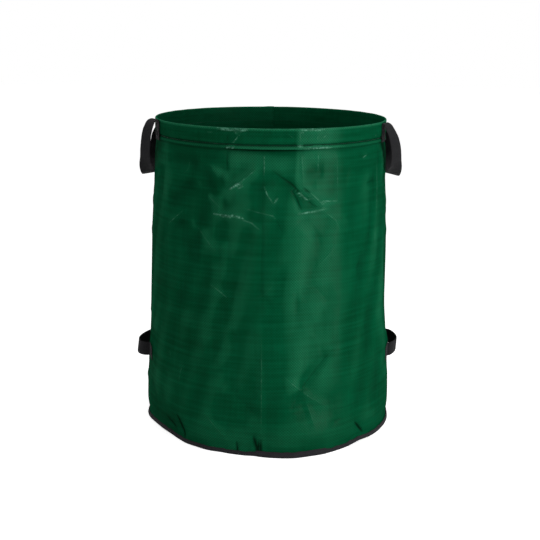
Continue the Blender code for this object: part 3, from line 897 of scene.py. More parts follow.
@dataclass
class Wall:
    """The bag's wall: one length of cloth lapped up the back, its hem folded outward over the hoop."""

    finish: Material
    lap: float = 0.018
    front_columns: int = 232
    back_columns: int = 96  # columns behind both sides together
    front_angle: float = 98.0  # end of the closer columns, in degrees
    wall_rows: int = 128
    roll_rows: int = 7
    hem_shares: tuple = (0.0, 0.10, 0.24, 0.38, 0.51, 0.61, 0.69, 0.74,  # places of its rows down the hem,
                         0.775, 0.799, 0.825, 0.86, 0.90, 0.95, 1.0)  # closest at the stitches
    seed: int = 11
    profile: tuple = (  # height, radius of the cloth's middle, and the round's shift to +X
        (0.0, 0.3450, 0.0), (BINDING_HEIGHT, 0.3410, -0.0006), (0.030, 0.3432, -0.0008),
        (0.045, 0.3454, -0.0008), (0.075, 0.3466, -0.0004), (0.112, 0.3464, 0.0), (0.180, 0.3446, 0.0004),
        (0.253, 0.3404, 0.0), (0.327, 0.3362, -0.0024), (0.429, 0.3340, -0.0018), (0.574, 0.3312, -0.0013),
        (0.688, 0.3260, -0.0012), (0.790, 0.3212, 0.0), (HEIGHT - HEM_DEPTH, 0.3190, -0.0002),
        (HEIGHT, 0.3188, 0.0))
    foot: float = 0.0022  # height of the cloth's lower edge
    roll: float = 0.0021  # rise of its turn over the rim
    hem_radius: float = 0.3233
    pressed: float = WALL_TOP_RADIUS + 0.0004  # radius of the hem where the stitches press it to the wall
    hem_cover: tuple = (0.8075, 0.8185)  # heights between which the hem comes to hide the wall
    gaping: tuple = (-0.135, -0.09)  # arcs between which the hem's gape starts at the left
    slack: tuple = (  # twist with height, orders, size and seed of each slow wave
        (0.0, range(3, 9), 0.0016, 5), (0.7, range(9, 17), 0.0011, 6), (-0.9, range(17, 33), 0.0007, 7))
    slack_middle: float = 0.4  # height at which the waves have no twist
    flats: tuple = (Flat(0.80, 0.10, (0.070, 0.215), (0.040, 0.195), 0.80, True),
                    Flat(0.80, 0.38, (-0.325, -0.160), (-0.310, -0.150), 0.45),
                    Flat(0.80, 0.06, (-0.150, -0.016), (-0.165, -0.018), 0.30),
                    Flat(0.80, 0.10, (0.212, 0.385), (0.200, 0.380), 0.35))
    held_radius: float = 0.3412  # of the outer face under the lower handles' sewn ends
    handle_pulls: tuple = ((-HALF_GIRTH / 2, 0.0020), (HALF_GIRTH / 2, 0.0064))  # arc and push of each
    sheen_paint_strength: float = 0.18  # how much lighter the painted sheen on the first flat makes the cloth
    rim_light: float = 0.26  # and the painted highlight on the turn over the rim
    full_relief: float = 0.0022  # unevenness that shades the cloth in full

    def __post_init__(self) -> None:
        """Gather the creases, and work out the grid's columns, its rows up the wall and down the hem."""
        self.creases = creases_of(FRONT_CREASES) + self.crinkles()
        self.folds = creases_of(HEM_CREASES) + self.hem_crinkles()
        self.angle, self.climb = self.angles()[None, :], self.climbs()[:, None]
        self.arc = self.angle * ARC_RADIUS
        self.share = np.array(self.hem_shares)[:, None]
        self.fall = HEIGHT - self.roll - CLOTH / 2 - (HEM_DEPTH - self.roll) * self.share
        self.wall_places = np.broadcast_arrays(self.arc, self.climb)
        self.hem_places = np.broadcast_arrays(self.arc, self.fall)

    def angles(self) -> np.ndarray:
        """Angle of each column, close together at the front.

        The cloth starts at the back, half a lap's width before the back line, and ends as far past it.

        Returns:
            The angles, rising.
        """
        front = math.radians(self.front_angle)
        end = math.pi + self.lap / 2 / ARC_RADIUS
        back = self.back_columns // 2
        return np.concatenate([np.linspace(-end, -front, back, endpoint=False),
                               np.linspace(-front, front, self.front_columns, endpoint=False),
                               np.linspace(front, end, back + 1)])

    def climbs(self) -> np.ndarray:
        """Height of each row of the wall, close together in its upper part.

        Returns:
            The heights, rising.
        """
        share = np.linspace(0.0, 1.0, self.wall_rows)
        bent = share + 0.10 * np.sin(math.pi * share) * share
        return self.foot + (HEIGHT - self.roll - self.foot) * (bent / bent[-1])

    def round_at(self, height: np.ndarray) -> tuple[np.ndarray, np.ndarray]:
        """Radius of the cloth's middle at each height, and the shift of its round to +X."""
        rows = np.array(self.profile)
        return tuple(through(rows[:, 0], rows[:, 1:], height).T)

    def gape(self) -> np.ndarray:
        """How far the hem's free edge stands off the wall: a middle stretch at the front gapes most."""
        ripple = 0.0005 * np.sin(self.arc * 31.0) + 0.0003 * np.sin(self.arc * 83.0 + 1.0)
        return 0.0012 + 0.0042 * band(self.arc, self.gaping, (0.075, 0.12)) + ripple

    def crinkles(self) -> list[Crease]:
        """Seeded short folds all round, most of them steep or slanted, fewer and softer low down.

        Returns:
            The creases, each of two halves with a bend between them.
        """
        chance = np.random.default_rng(self.seed)
        made = []
        for _ in range(250):
            arc = chance.uniform(-HALF_GIRTH, HALF_GIRTH)
            height = 0.06 + 0.73 * chance.uniform() ** 0.8
            half = chance.uniform(0.025, 0.11) / 2
            tilt = chance.choice([chance.normal(90, 12), chance.normal(40, 14), chance.normal(140, 14),
                                  chance.normal(5, 8)])
            way = [(arc, height)]
            for slope in (math.radians(tilt), math.radians(tilt + chance.normal(0, 16))):
                way.append((way[-1][0] + half * math.cos(slope), way[-1][1] + half * math.sin(slope)))
            made.append(Crease(chance.choice([RIDGE, VALLEY]), chance.uniform(0.0006, 0.0028),
                               chance.uniform(0.010, 0.024), chance.uniform(-0.5, 0.5),
                               0.32 * chance.uniform() ** 2, tuple(way)))
        return made

    def hem_crinkles(self) -> list[Crease]:
        """Seeded short creases all round the hem.

        Returns:
            The creases.
        """
        chance = np.random.default_rng(self.seed + 5)
        made = []
        for _ in range(90):
            arc, height = chance.uniform(-1.05, 1.05), chance.uniform(0.816, 0.862)
            run, rise = chance.normal(0, 0.016), chance.normal(0, 0.012)
            made.append(Crease(chance.choice([RIDGE, VALLEY]), chance.uniform(0.0001, 0.0005), 0.008, 0.0,
                               chance.uniform(0.1, 0.5), ((arc, height), (arc + run, height + rise))))
        return made

    def puckers(self, arc: np.ndarray, height: np.ndarray) -> np.ndarray:
        """Small gathers over the foot's seam: a seeded row of upright ripples that fade upward.

        Args:
            arc: Arc of each point.
            height: Height of each point.

        Returns:
            The distance outward at each point.
        """
        chance = np.random.default_rng(self.seed + 1)
        total = np.zeros(arc.shape)
        for centre in np.arange(-HALF_GIRTH, HALF_GIRTH, 0.034):
            place = centre + chance.uniform(-0.012, 0.012)
            rise = chance.uniform(0.018, 0.055)
            depth = chance.uniform(-0.0016, 0.0010)
            lean = chance.uniform(-0.5, 0.5)
            off = arc - place - lean * (height - BINDING_HEIGHT)
            low = 1 - eased(height, BINDING_HEIGHT, BINDING_HEIGHT + rise)
            total += depth * bell(off, 0.0, chance.uniform(0.005, 0.010)) * low
        return total

    def push(self, arc: np.ndarray, height: np.ndarray) -> np.ndarray:
        """Everything that moves the wall outward or inward from its plain round form.

        Args:
            arc: Arc of each point.
            height: Height of each point.

        Returns:
            The distance outward at each point.
        """
        angle = arc / ARC_RADIUS
        loose = band(height, (0.02, 0.14), (0.70, 0.806))
        total = np.zeros(arc.shape)
        for twist, orders, size, seed in self.slack:
            total += waves(angle + twist * (height - self.slack_middle), orders, size, seed) * loose
        for flat in self.flats:
            total += flat.push(arc, height)
        for crease in self.creases:
            total += crease.shape(arc, height)[0]
        for place, pull in self.handle_pulls:
            total += pull * bell(arc, place, 0.032) * bell(height, 0.213, 0.024)
        above = eased(height, BINDING_HEIGHT - 0.004, BINDING_HEIGHT + 0.010)
        total = (total * (1 - eased(height, *self.hem_cover)) + self.puckers(arc, height)) * above
        return total + foot_wave(angle) * (1 - eased(height, 0.02, 0.16))

    def held(self, angle: np.ndarray, height: np.ndarray) -> np.ndarray:
        """Share, from 0 to 1, that the sewn ends of the lower handles hold the cloth to one round."""
        off = np.abs(np.abs(angle) - math.pi / 2)
        return band(off, (0.115, 0.155), (0.275, 0.330)) * band(height, (0.145, 0.172), (0.245, 0.272))

    def standing(self) -> tuple[np.ndarray, np.ndarray]:
        """The wall up to the rim: its own radius at each height, with the push where it isn't held.

        Returns:
            A grid of points, and the push at each.
        """
        radius, shift = (column[:, None] for column in self.round_at(self.climb[:, 0]))
        pushed = self.push(*self.wall_places)
        held = self.held(self.angle, self.climb)
        radius = (radius + pushed) * (1 - held) + (self.held_radius - CLOTH / 2) * held
        lift = foot_lift(self.angle) * (1 - eased(self.climb, 0.010, 0.16))
        points = around(radius, self.angle, self.climb + lift)
        points[..., 0] += shift
        return points, pushed

    def turned(self) -> np.ndarray:
        """The cloth's turn over the rim: half an ellipse, whose crown stands a little higher in places.

        Returns:
            A grid of points.
        """
        turn = np.linspace(math.pi, 0.0, self.roll_rows + 2)[1:-1][:, None]
        inner = self.profile[-1][1]
        half = (self.hem_radius - inner) / 2
        crown = 1 + 0.16 * np.clip(np.sin(self.arc * 55.0 + 3 * np.sin(self.arc * 17.0)), 0, 1)
        height = HEIGHT - self.roll - CLOTH / 2 + self.roll * np.sin(turn) * crown
        return around(inner + half + half * np.cos(turn), self.angle, height)

    def hem(self) -> np.ndarray:
        """The hem outside the hoop: it hangs straight, is pressed in at the stitches and gapes below them.

        Returns:
            A grid of points.
        """
        under = HEIGHT - HEM_STITCH_DROP - self.fall
        hanging = self.hem_radius + 0.0006 * np.sin(self.arc * 21.0 + 0.6) * np.sin(self.share * math.pi)
        lip = self.pressed + 0.0013 * eased(under, 0.0, 0.0025) + self.gape() * eased(under, 0.001, 0.0105)
        over = self.pressed + (hanging - self.pressed) * eased(-under, 0.0, 0.0085)
        creased = sum(fold.shape(*self.hem_places)[0] for fold in self.folds)
        return around(np.where(under > 0, lip, over) + creased, self.angle, self.fall)

    def light(self, pushed: np.ndarray, painted_sheen: np.ndarray) -> np.ndarray:
        """Painted light and shade of the wall's cloth: how much lighter or darker it is than its plain tint.

        It is the painted sheen, a painted lift in the middle of the front and at its left side, the painted
        strokes, and the painted shade and highlight of the relief, which is the push less its broad average.

        Args:
            pushed: Push at each point.
            painted_sheen: Painted sheen at each point.

        Returns:
            The painted light at each point, and painted shade where it is below 0.
        """
        arc, climb = self.arc, self.climb
        relief = np.clip((smoothed(pushed, 3) - smoothed(pushed, 50)) / self.full_relief, -1.0, 1.0)
        shown = band(climb, (0.01, 0.04), (0.79, 0.81))
        calm = 1 - (0.92 - 0.20 * eased(climb, 0.14, 0.24)) * bell(arc, 0.145, 0.085)
        calm = calm - 0.45 * bell(arc, -0.055, 0.085)
        # A painted lift in the middle of the front and at its left side, and the painted strokes
        painted_patches = 0.075 * bell(arc, -0.085, 0.070) + 0.05 * eased(-arc, 0.31, 0.39)
        painted_patches = painted_patches + sum(tone.shade(arc, climb) for tone in painted_strokes_of(PAINTED_STROKE_ROWS))
        # Painted highlight on the relief's rises and painted shade in its hollows, calmed in places
        return painted_sheen + painted_patches + np.where(relief > 0, 0.10, 0.34) * relief * shown * calm

    def rim_wear_and_glint(self) -> np.ndarray:
        """Strength of the line on the turn over the rim: wear, with a painted glint at two places of the
        front.
        """
        glints = bell(self.arc, -0.105, 0.05) + 0.9 * bell(self.arc, 0.115, 0.04)
        return 0.30 + 0.55 * glints * (0.5 + 0.5 * np.sin(self.arc * 310.0 + 4 * np.sin(self.arc * 71.0)))

    def hem_light(self) -> np.ndarray:
        """Painted highlight of the hem: along its upper edge, and a strip at the stitches that is brightest
        at the front.

        Returns:
            The painted highlight at each point.
        """
        strip = 0.08 + 0.16 * band(self.arc, self.gaping, (0.10, 0.24))
        edge = self.rim_light * (1 - eased(HEIGHT - self.fall, 0.0015, 0.0055))
        return edge + strip * band(self.fall, (0.8100, 0.8118), (0.8183, 0.8196))

    def middle(self) -> tuple[np.ndarray, np.ndarray, dict[str, np.ndarray]]:
        """The cloth's middle surface, from its foot up the wall, over the rim and down the hem.

        Returns:
            A grid of points, the UV place of each (arc and way along the cloth), and the numbers that its
            finish reads: the gap to the strongest fold line there, its pull and the painted light and shade
                of the cloth.
        """
        wall, pushed = self.standing()
        roll = self.turned()
        grid = np.concatenate([wall, roll, self.hem()])
        way = way_along(grid[:, grid.shape[1] // 2])[:, None]
        uvs = np.stack(np.broadcast_arrays(self.arc, way), axis=-1)

        turn = slice(len(wall), len(wall) + len(roll))
        crest = way[turn] - way[turn.stop - 2] + 0 * self.arc
        gap, pull = fine_lines(self.creases, *self.wall_places)
        hem_gap, hem_pull = fine_lines(self.folds, *self.hem_places)
        shown = 1 - eased(self.climb, *self.hem_cover)
        # Painted sheen over the first flat
        painted_sheen = self.sheen_paint_strength * self.flats[0].stretch(*self.wall_places)
        # The fold lines bring whitening, painted glints and painted shade; the last numbers are the painted
        # light and shade
        marks = {"fold_gap": [gap, crest, hem_gap],
                 "fold_pull": [pull * shown, self.rim_wear_and_glint() + 0 * crest, hem_pull],
                 "painted_lighting": [self.light(pushed, painted_sheen), painted_sheen[-1:] + self.rim_light + 0 * crest,
                                painted_sheen[-1:] + self.hem_light()]}
        return grid, uvs, {name: np.concatenate(parts) for name, parts in marks.items()}

    def on_wall(self, arc: np.ndarray, height: np.ndarray) -> tuple[np.ndarray, np.ndarray]:
        """Places on the wall's outer face.

        Args:
            arc: Arc of each place.
            height: Height of each place.

        Returns:
            The places, and the outward way at each.
        """
        angle = arc / ARC_RADIUS
        radius, shift = self.round_at(height)
        radius = radius + CLOTH / 2 + self.push(np.where(arc > HALF_GIRTH, arc - 2 * HALF_GIRTH, arc), height)
        places = around(radius, angle, height)
        places[:, 0] += shift
        return places, around(1.0, angle, 0.0)

    def build(self) -> Piece:
        """Make the wall's cloth, with its lap at the back.

        Returns:
            The piece.
        """
        grid, uvs, marks = self.middle()
        start = -math.pi + self.lap / 2 / ARC_RADIUS
        under = 1 - eased(self.angle, start, start + 0.035)
        grid = grid - normals_of(grid) * ((CLOTH + GAP) * under)[..., None]
        points, quads = cloth_shell(grid, CLOTH, False)
        piece = make_piece("side_wall", points, quads, np.tile(uvs.reshape(-1, 2), (2, 1)), self.finish,
                           {name: np.tile(numbers.ravel(), 2) for name, numbers in marks.items()})
        fixed(piece, "side_panel")
        return piece


def foot_wave(angle: np.ndarray) -> np.ndarray:
    """How the seam at the foot wanders in and out: hills at the front and sides, a dent and seeded waves.

    Args:
        angle: Angles to read.

    Returns:
        The distance outward at each angle.
    """
    bulge = 0.013 * np.cos(np.clip((angle - 0.22) / 0.95, -1.0, 1.0) * math.pi / 2) ** 2
    bulge = bulge - 0.0105 * band(angle, (-1.42, -1.14), (-0.90, -0.62))
    for size, middle, width in ((0.012, 0.22, 0.24), (0.0040, -0.52, 0.14),
                                (0.0035, -1.52, 0.09), (0.0030, 1.50, 0.12)):
        bulge = bulge + size * bell(angle, middle, width)
    return bulge + waves(angle, range(4, 12), 0.0013, 21) + waves(angle, range(14, 31), 0.0005, 22)


def foot_lift(angle: np.ndarray) -> np.ndarray:
    """How far the seam at the foot stands off the floor: gentle rises, and a high one at each front side.

    Args:
        angle: Angles to read.

    Returns:
        The rise at each angle.
    """
    high = 0.0030 * bell(angle, -1.10, 0.22) + 0.0044 * bell(angle, 0.79, 0.17)
    ripple = waves(angle, range(5, 16), 0.0014, 23) + waves(angle, range(20, 34), 0.0004, 24) + 0.0004
    return np.clip(ripple, 0.0, 0.003) + high


@dataclass
class Bottom:
    """The round bottom: a slack sheet that rises to the seam and turns down inside it."""

    finish: Material
    columns: int = 240
    rows: int = 46
    edge_rows: int = 22
    floor: float = CLOTH / 2 + 0.0002  # height of the lowest cloth's middle
    edge: float = BASE_RADIUS - 0.0033  # radius at which the sheet meets the seam
    turned_in: float = BASE_RADIUS - 0.0014  # and of its edge between the wall and the tape

    def build(self) -> Piece:
        """Make the bottom: rings that widen from a small middle, lifted by slow ripples.

        Returns:
            The piece.
        """
        angle = np.linspace(-math.pi, math.pi, self.columns, endpoint=False)[None, :]
        radius = FLAT_RADIUS * np.linspace(0.004, 1.0, self.rows)[:, None] + 0 * angle
        flat = around(radius, angle, self.floor)
        x, y = flat[..., 0], flat[..., 1]
        ripple = (np.sin(x * 23 + 2 * np.sin(y * 17)) * np.sin(y * 29 + np.sin(x * 13)) + 1) / 2
        slack = 0.0028 * ripple + 0.0012 * np.abs(np.sin(x * 61 + y * 37))
        flat[..., 2] += slack * (1 - eased(radius, 0.27, FLAT_RADIUS))
        knots = ((FLAT_RADIUS, self.floor), (FLAT_RADIUS + 0.008, 0.0018), (self.edge - 0.010, 0.0072),
                 (self.edge - 0.004, 0.0118), (self.edge, 0.0138), (self.turned_in - 0.0008, 0.0140),
                 (self.turned_in + 0.0002, 0.0120), (self.turned_in + 0.0030, 0.0030))
        stations = np.linspace(0, len(knots) - 1, self.edge_rows)[1:]
        far, high = (column[:, None] for column in through(np.arange(len(knots)), knots, stations).T)
        sewn = eased(far, FLAT_RADIUS, self.edge)
        rise = around(far + foot_wave(angle) * sewn, angle, high + foot_lift(angle) * sewn)
        grid = np.concatenate([flat, rise])
        grid[..., 2] = np.maximum(grid[..., 2], CLOTH / 2)
        points, quads = cloth_shell(grid[:, ::-1], CLOTH, True, capped=True)
        piece = fixed(make_piece("bottom_sheet", points, quads, points[:, :2], self.finish),
                      "bottom_panel")
        return piece


@dataclass
class FootTape:
    """Black tape folded round the two raw edges at the foot, its ends lapped over a stretch at the front."""

    finish: Material
    columns: int = 540
    thickness: float = 0.0012
    outer_height: float = 0.0152
    inner_height: float = 0.0118
    rolled_under: float = 0.0046  # how much lower its edge is outside the lapped stretch
    lap: tuple = (-0.08, 0.445)  # angles of the lapped stretch
    lap_rise: float = 0.0012  # how far it stands out there
    seam: float = 2 * CLOTH + 0.0012  # thickness of what it holds
    row_length: float = 0.0018  # across the tape in its UV map, from one row to the next

    def edge(self, angle: np.ndarray) -> np.ndarray:
        """Height of the tape's outer edge, lower where it is rolled under beside its lapped stretch."""
        lapped = band(angle, (-0.10, -0.08), (0.435, 0.455))
        return self.outer_height - self.rolled_under * (1 - lapped) * eased(np.cos(angle), -0.2, 0.2)

    def outside(self, angle: np.ndarray, height: np.ndarray) -> np.ndarray:
        """Radius of the tape's middle on its outer leg: the foot's, its flare, its lap and the foot's wave.

        Args:
            angle: Angle of each point.
            height: Height of each point over the foot's line.

        Returns:
            The radius at each point.
        """
        start, end = self.lap
        flare = BINDING_FLARE * (1 - height / BINDING_HEIGHT)
        lapped = self.lap_rise * band(angle, (start, start + 0.006), (end - 0.006, end))
        return BASE_RADIUS + flare + GAP + self.thickness / 2 + lapped + foot_wave(angle)

    def build(self) -> Piece:
        """Make the tape: a U-shaped way from its outer edge down, under the seam and up inside.

        Returns:
            The piece.
        """
        angle = np.linspace(-math.pi, math.pi, self.columns, endpoint=False)[None, :]
        down = np.linspace(1.0, 0.0, 9)[:, None]
        edge = self.edge(angle) + waves(angle, range(40, 90), 0.0005, 31)
        height = edge * down + 0.0006 * (1 - down)
        outer = self.outside(angle, height) + waves(angle, range(50, 120), 0.00035, 32) * down
        lowest = self.outside(angle, np.zeros_like(angle))
        depth = self.seam + self.thickness
        under = lowest - depth * np.array([[0.33], [0.66]])
        up = np.linspace(0.06, 1.0, 7)[:, None] * self.inner_height
        inner = lowest - depth - BINDING_FLARE * up / BINDING_HEIGHT
        level = [height, np.full_like(under, self.thickness / 2 - 0.0002), up + 0 * angle]
        grid = around(np.concatenate([outer, under, inner]), angle, np.concatenate(level) + foot_lift(angle))
        points, quads = cloth_shell(grid[::-1], self.thickness, True)
        rows = np.arange(grid.shape[0])[::-1, None] * self.row_length
        uvs = np.stack(np.broadcast_arrays(rows, angle * ARC_RADIUS), axis=-1).reshape(-1, 2)
        piece = make_piece("foot_tape", points, quads, np.tile(uvs, (2, 1)), self.finish)
        return fixed(piece, "base_binding")


@dataclass(frozen=True)
class StitchSize:
    """Size of one stitch."""

    length: float = 0.0034
    pitch: float = 0.0042
    thick: float = 0.0008
    sides: int = 6  # corners round its thread


def stitch_row(name: str, places: np.ndarray, heading: np.ndarray, out: np.ndarray, size: StitchSize,
               finish: Material) -> Piece:
    """Make one stitch at each place: a short round bar of four rings, whose ends dip into the cloth.

    Args:
        name: Name of the piece.
        places: Middle of each stitch, on the cloth.
        heading: Which way each runs.
        out: Which way is off the cloth.
        size: Size of the stitches.
        finish: Thread material.

    Returns:
        One object with all the stitches of the row.
    """
    heading = unit(heading)
    side = unit(np.cross(out, heading))
    out = np.cross(heading, side)
    station = np.array([-0.5, -0.34, 0.34, 0.5]) * size.length
    swell = np.array([0.45, 1.0, 1.0, 0.45]) * size.thick / 2
    rise = np.array([-0.8, 0.45, 0.45, -0.8]) * size.thick / 2
    turn = np.linspace(0, 2 * math.pi, size.sides, endpoint=False)
    ring_side = swell[:, None] * np.cos(turn)
    ring_out = rise[:, None] + swell[:, None] * np.sin(turn)
    points = (places[:, None, None] + heading[:, None, None] * station[None, :, None, None]
              + side[:, None, None] * ring_side[None, :, :, None]
              + out[:, None, None] * ring_out[None, :, :, None])
    rings, corners = len(station), size.sides
    k = np.arange(0, corners - 2, 2)
    first = np.stack([k + 1, k + 2, k + 3, 0 * k], axis=1)
    last = first[:, [2, 1, 0, 3]] + (rings - 1) * corners
    one = np.concatenate([cells(rings, corners, True)[:, ::-1], first, last])
    quads = (one[None] + rings * corners * np.arange(len(places))[:, None, None]).reshape(-1, 4)
    uvs = np.stack(np.broadcast_arrays(turn * size.thick / 2, station[:, None]), axis=-1).reshape(-1, 2)
    return make_piece(name, points.reshape(-1, 3), quads, np.tile(uvs, (len(places), 1)), finish)


def round_row(radius: np.ndarray, height: np.ndarray, angle: np.ndarray, sign: float = 1.0
              ) -> tuple[np.ndarray, np.ndarray, np.ndarray]:
    """Row of stitches that runs round the bag.

    Args:
        radius: Radius of each stitch.
        height: Height of each.
        angle: Angle of each.
        sign: 1 for a row on the outside, and -1 for one on the inside.

    Returns:
        Places, headings and ways off the cloth.
    """
    places = around(radius, angle, height)
    return places, np.gradient(places, axis=0), sign * around(1.0, angle, 0.0)


@dataclass
class Sewing:
    """The rows of stitches in the cloth and in the tape at the foot."""

    wall: Wall
    tape: FootTape
    green: Material
    black: Material
    size: StitchSize = StitchSize()
    back_span: tuple = (0.022, 0.8045)  # heights of the rows up the back
    back_gap: float = 0.008  # from one of them to the other

    def angles(self) -> np.ndarray:
        """Angle of each stitch in a row round the bag."""
        count = int(2 * math.pi * RIM_RADIUS / self.size.pitch)
        return np.linspace(-math.pi, math.pi, count, endpoint=False)

    def hem(self) -> Piece:
        """Make the hem's row, which shows outside and inside.

        Returns:
            The piece.
        """
        angle = self.angles()
        height = HEIGHT - HEM_STITCH_DROP + 0.0004 * np.sin(angle * 9)
        rows = (round_row(WALL_TOP_RADIUS + 0.0010, height, angle),
                round_row(WALL_TOP_RADIUS - 0.0008, height, angle, -1.0))
        places, heading, out = (np.concatenate(pair) for pair in zip(*rows))
        piece = stitch_row("hem_stitches", places, heading, out, self.size, self.green)
        return fixed(piece, "hem_seam_thread")

    def foot(self) -> Piece:
        """Make the row in the tape, at 0.62 of the tape's height.

        Returns:
            The piece.
        """
        angle = self.angles()
        height = 0.62 * self.tape.edge(angle)
        radius = self.tape.outside(angle, height) + self.tape.thickness / 2
        row = round_row(radius, height + foot_lift(angle), angle)
        piece = stitch_row("foot_stitches", *row, self.size, self.black)
        return fixed(piece, "base_seam_thread")

    def back(self) -> Piece:
        """Make the two rows up the back.

        Returns:
            The piece.
        """
        climb = np.arange(*self.back_span, self.size.pitch)
        rows = []
        for off in (-self.back_gap / 2, self.back_gap / 2):
            places, out = self.wall.on_wall(np.full(climb.shape, HALF_GIRTH + off), climb)
            rows.append((places, np.gradient(places, axis=0), out))
        places, heading, out = (np.concatenate(pair) for pair in zip(*rows))
        piece = stitch_row("back_stitches", places, heading, out, self.size, self.green)
        return fixed(piece, "side_seam_thread")

    def build(self) -> list[Piece]:
        """Make the rows of the hem, the foot and the back."""
        return [self.hem(), self.foot(), self.back()]


@dataclass
class Webbing:
    """A length of webbing carried along a way, with its width turned as wished."""

    way: np.ndarray
    wish: np.ndarray
    cup: np.ndarray  # how strongly it curves across, as on the round wall
    turned: bool  # whether its outer face is on the other side of its way
    width: float = WEBBING_WIDTH
    thickness: float = WEBBING
    half_ring: int = 11  # points across each face
    edge: float = 0.35  # share of the thickness that its edges keep
    margin: float = 0.005  # from its edges to a box of stitches

    def __post_init__(self) -> None:
        """Work out the length along the way and the strap's own directions."""
        self.length = way_along(self.way)
        self.tangent = unit(np.gradient(self.way, axis=0))
        self.across = unit(self.wish - self.tangent * np.sum(self.wish * self.tangent, axis=1, keepdims=True))
        self.out = np.cross(self.across, self.tangent) * (-1.0 if self.turned else 1.0)

    def ribbon(self, name: str, first: int, last: int, finish: Material) -> Piece:
        """Make the stretch between two stations: a flat section with thin rounded edges.

        Half the thickness at a share s of the half width is sqrt(1 - s ** 10) of its middle, but never less
        than the edge's share. At a distance a from the middle line the section is bent by cup * a * a / 2.

        Args:
            name: Name of the piece.
            first: Its first station.
            last: Its last station, which it includes.
            finish: Webbing material.

        Returns:
            The closed piece.
        """
        a = np.sin(np.linspace(-math.pi / 2, math.pi / 2, self.half_ring)) * self.width / 2
        b = self.thickness / 2 * np.maximum(np.sqrt(1 - np.abs(2 * a / self.width) ** 10), self.edge)
        ring_a, ring_b = np.concatenate([a, a[::-1]]), np.concatenate([b, -b[::-1]])
        part = slice(first, last + 1)
        bent = self.cup[part][:, None] * ring_a[None, :] ** 2 / 2
        lift = ring_b[None, :] + (bent if self.turned else -bent)
        points = (self.way[part][:, None] + self.across[part][:, None] * ring_a[None, :, None]
                  + self.out[part][:, None] * lift[..., None])
        rows, columns = points.shape[:2]
        k = np.arange(self.half_ring - 1)
        start = np.stack([k, columns - 1 - k, columns - 2 - k, k + 1], axis=1)
        quads = np.concatenate([cells(rows, columns, True), start, (rows - 1) * columns + start[:, ::-1]])
        u = np.concatenate([a, a[::-1] + self.width])
        uvs = np.stack(np.broadcast_arrays(u, self.length[part][:, None]), axis=-1).reshape(-1, 2)
        return make_piece(name, points.reshape(-1, 3), quads, uvs, finish)

    def at(self, a: np.ndarray, along: np.ndarray) -> tuple[np.ndarray, np.ndarray, np.ndarray, np.ndarray]:
        """Places on the strap's outer face.

        Args:
            a: Distance of each from the strap's middle line.
            along: Length of the way up to each.

        Returns:
            The places, and the strap's tangent, across and out directions there.
        """
        way, tangent, across, out = (
            np.stack([np.interp(along, self.length, table[:, k]) for k in range(3)], axis=-1)
            for table in (self.way, self.tangent, self.across, self.out))
        across, out = unit(across), unit(out)
        lift = self.thickness / 2 - np.interp(along, self.length, self.cup) * a ** 2 / 2
        return way + across * a[:, None] + out * lift[:, None], unit(tangent), across, out

    def crossed_box(self, name: str, low: float, high: float, size: StitchSize, finish: Material) -> Piece:
        """Make a crossed box of stitches on the outer face between two lengths.

        Args:
            name: Name of the piece.
            low: Length of the way at which the sewn end starts.
            high: Length at which it ends.
            size: Size of the stitches.
            finish: Thread material.

        Returns:
            The piece.
        """
        half = self.width / 2 - self.margin
        low, high = low + self.margin, high - self.margin
        corners = np.array([(-half, low), (half, low), (half, high), (-half, high)])
        spots, ways = [], []
        for first, last in ((0, 1), (1, 2), (2, 3), (3, 0), (0, 2), (1, 3)):
            run = corners[last] - corners[first]
            span = np.linalg.norm(run)
            count = max(int(span / size.pitch), 1)
            spots.append(corners[first] + run * ((np.arange(count) + 0.5) / count)[:, None])
            ways.append(np.tile(run / span, (count, 1)))
        spots, ways = np.concatenate(spots), np.concatenate(ways)
        places, tangent, across, out = self.at(spots[:, 0], spots[:, 1])
        return stitch_row(name, places, across * ways[:, :1] + tangent * ways[:, 1:], out, size, finish)


def spaced(knots: np.ndarray, step: float) -> np.ndarray:
    """Rows of a table read at even steps of the way in its first three columns.

    Args:
        knots: Table whose first three columns are places.
        step: Distance between stations.

    Returns:
        The table at each station, smoothly between its rows.
    """
    length = way_along(knots[:, :3])
    count = max(int(round(length[-1] / step)), 2)
    return through(length, knots, np.linspace(0.0, length[-1], count + 1))


@dataclass
class Handle:
    """What the handles share: a strap on one side of the bag, sewn on at both ends."""

    side: Side
    finish: Material
    thread: Material

    @property
    def word(self) -> str:
        """Side of the bag in words."""
        return self.side.name.lower()

    def mirrored(self, ways: np.ndarray) -> np.ndarray:
        """A way or direction of the right-hand side moved to the handle's own side."""
        return ways * np.array([self.side.value, 1.0, 1.0])

    def boxes(self, strap: Webbing, sewn: float, name: str, node: str) -> list[Piece]:
        """Make the box of stitches on each sewn end.

        Args:
            strap: The strap.
            sewn: Length of each sewn end.
            name: Start of the pieces' names.
            node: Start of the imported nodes' names.

        Returns:
            The two pieces.
        """
        whole = strap.length[-1]
        made = []
        for end, span in ((End.FRONT, (0.0, sewn)), (End.REAR, (whole - sewn, whole))):
            place = end.name.lower()
            box = strap.crossed_box(f"{name}_{place}_stitches", *span, StitchSize(), self.thread)
            made.append(fixed(box, f"{node}_{place}_stitches"))
        return made


@dataclass(frozen=True)
class StrapHalf:
    """Shape of one half of a rim handle."""

    arch: tuple[tuple[float, float, float], ...]  # distance from the bag's middle, drop below the rim, turn
    leg: tuple[float, ...]  # distance from the bag's middle at equal shares of the hang
    turn: float  # turn of the hanging leg's width from Y, in degrees


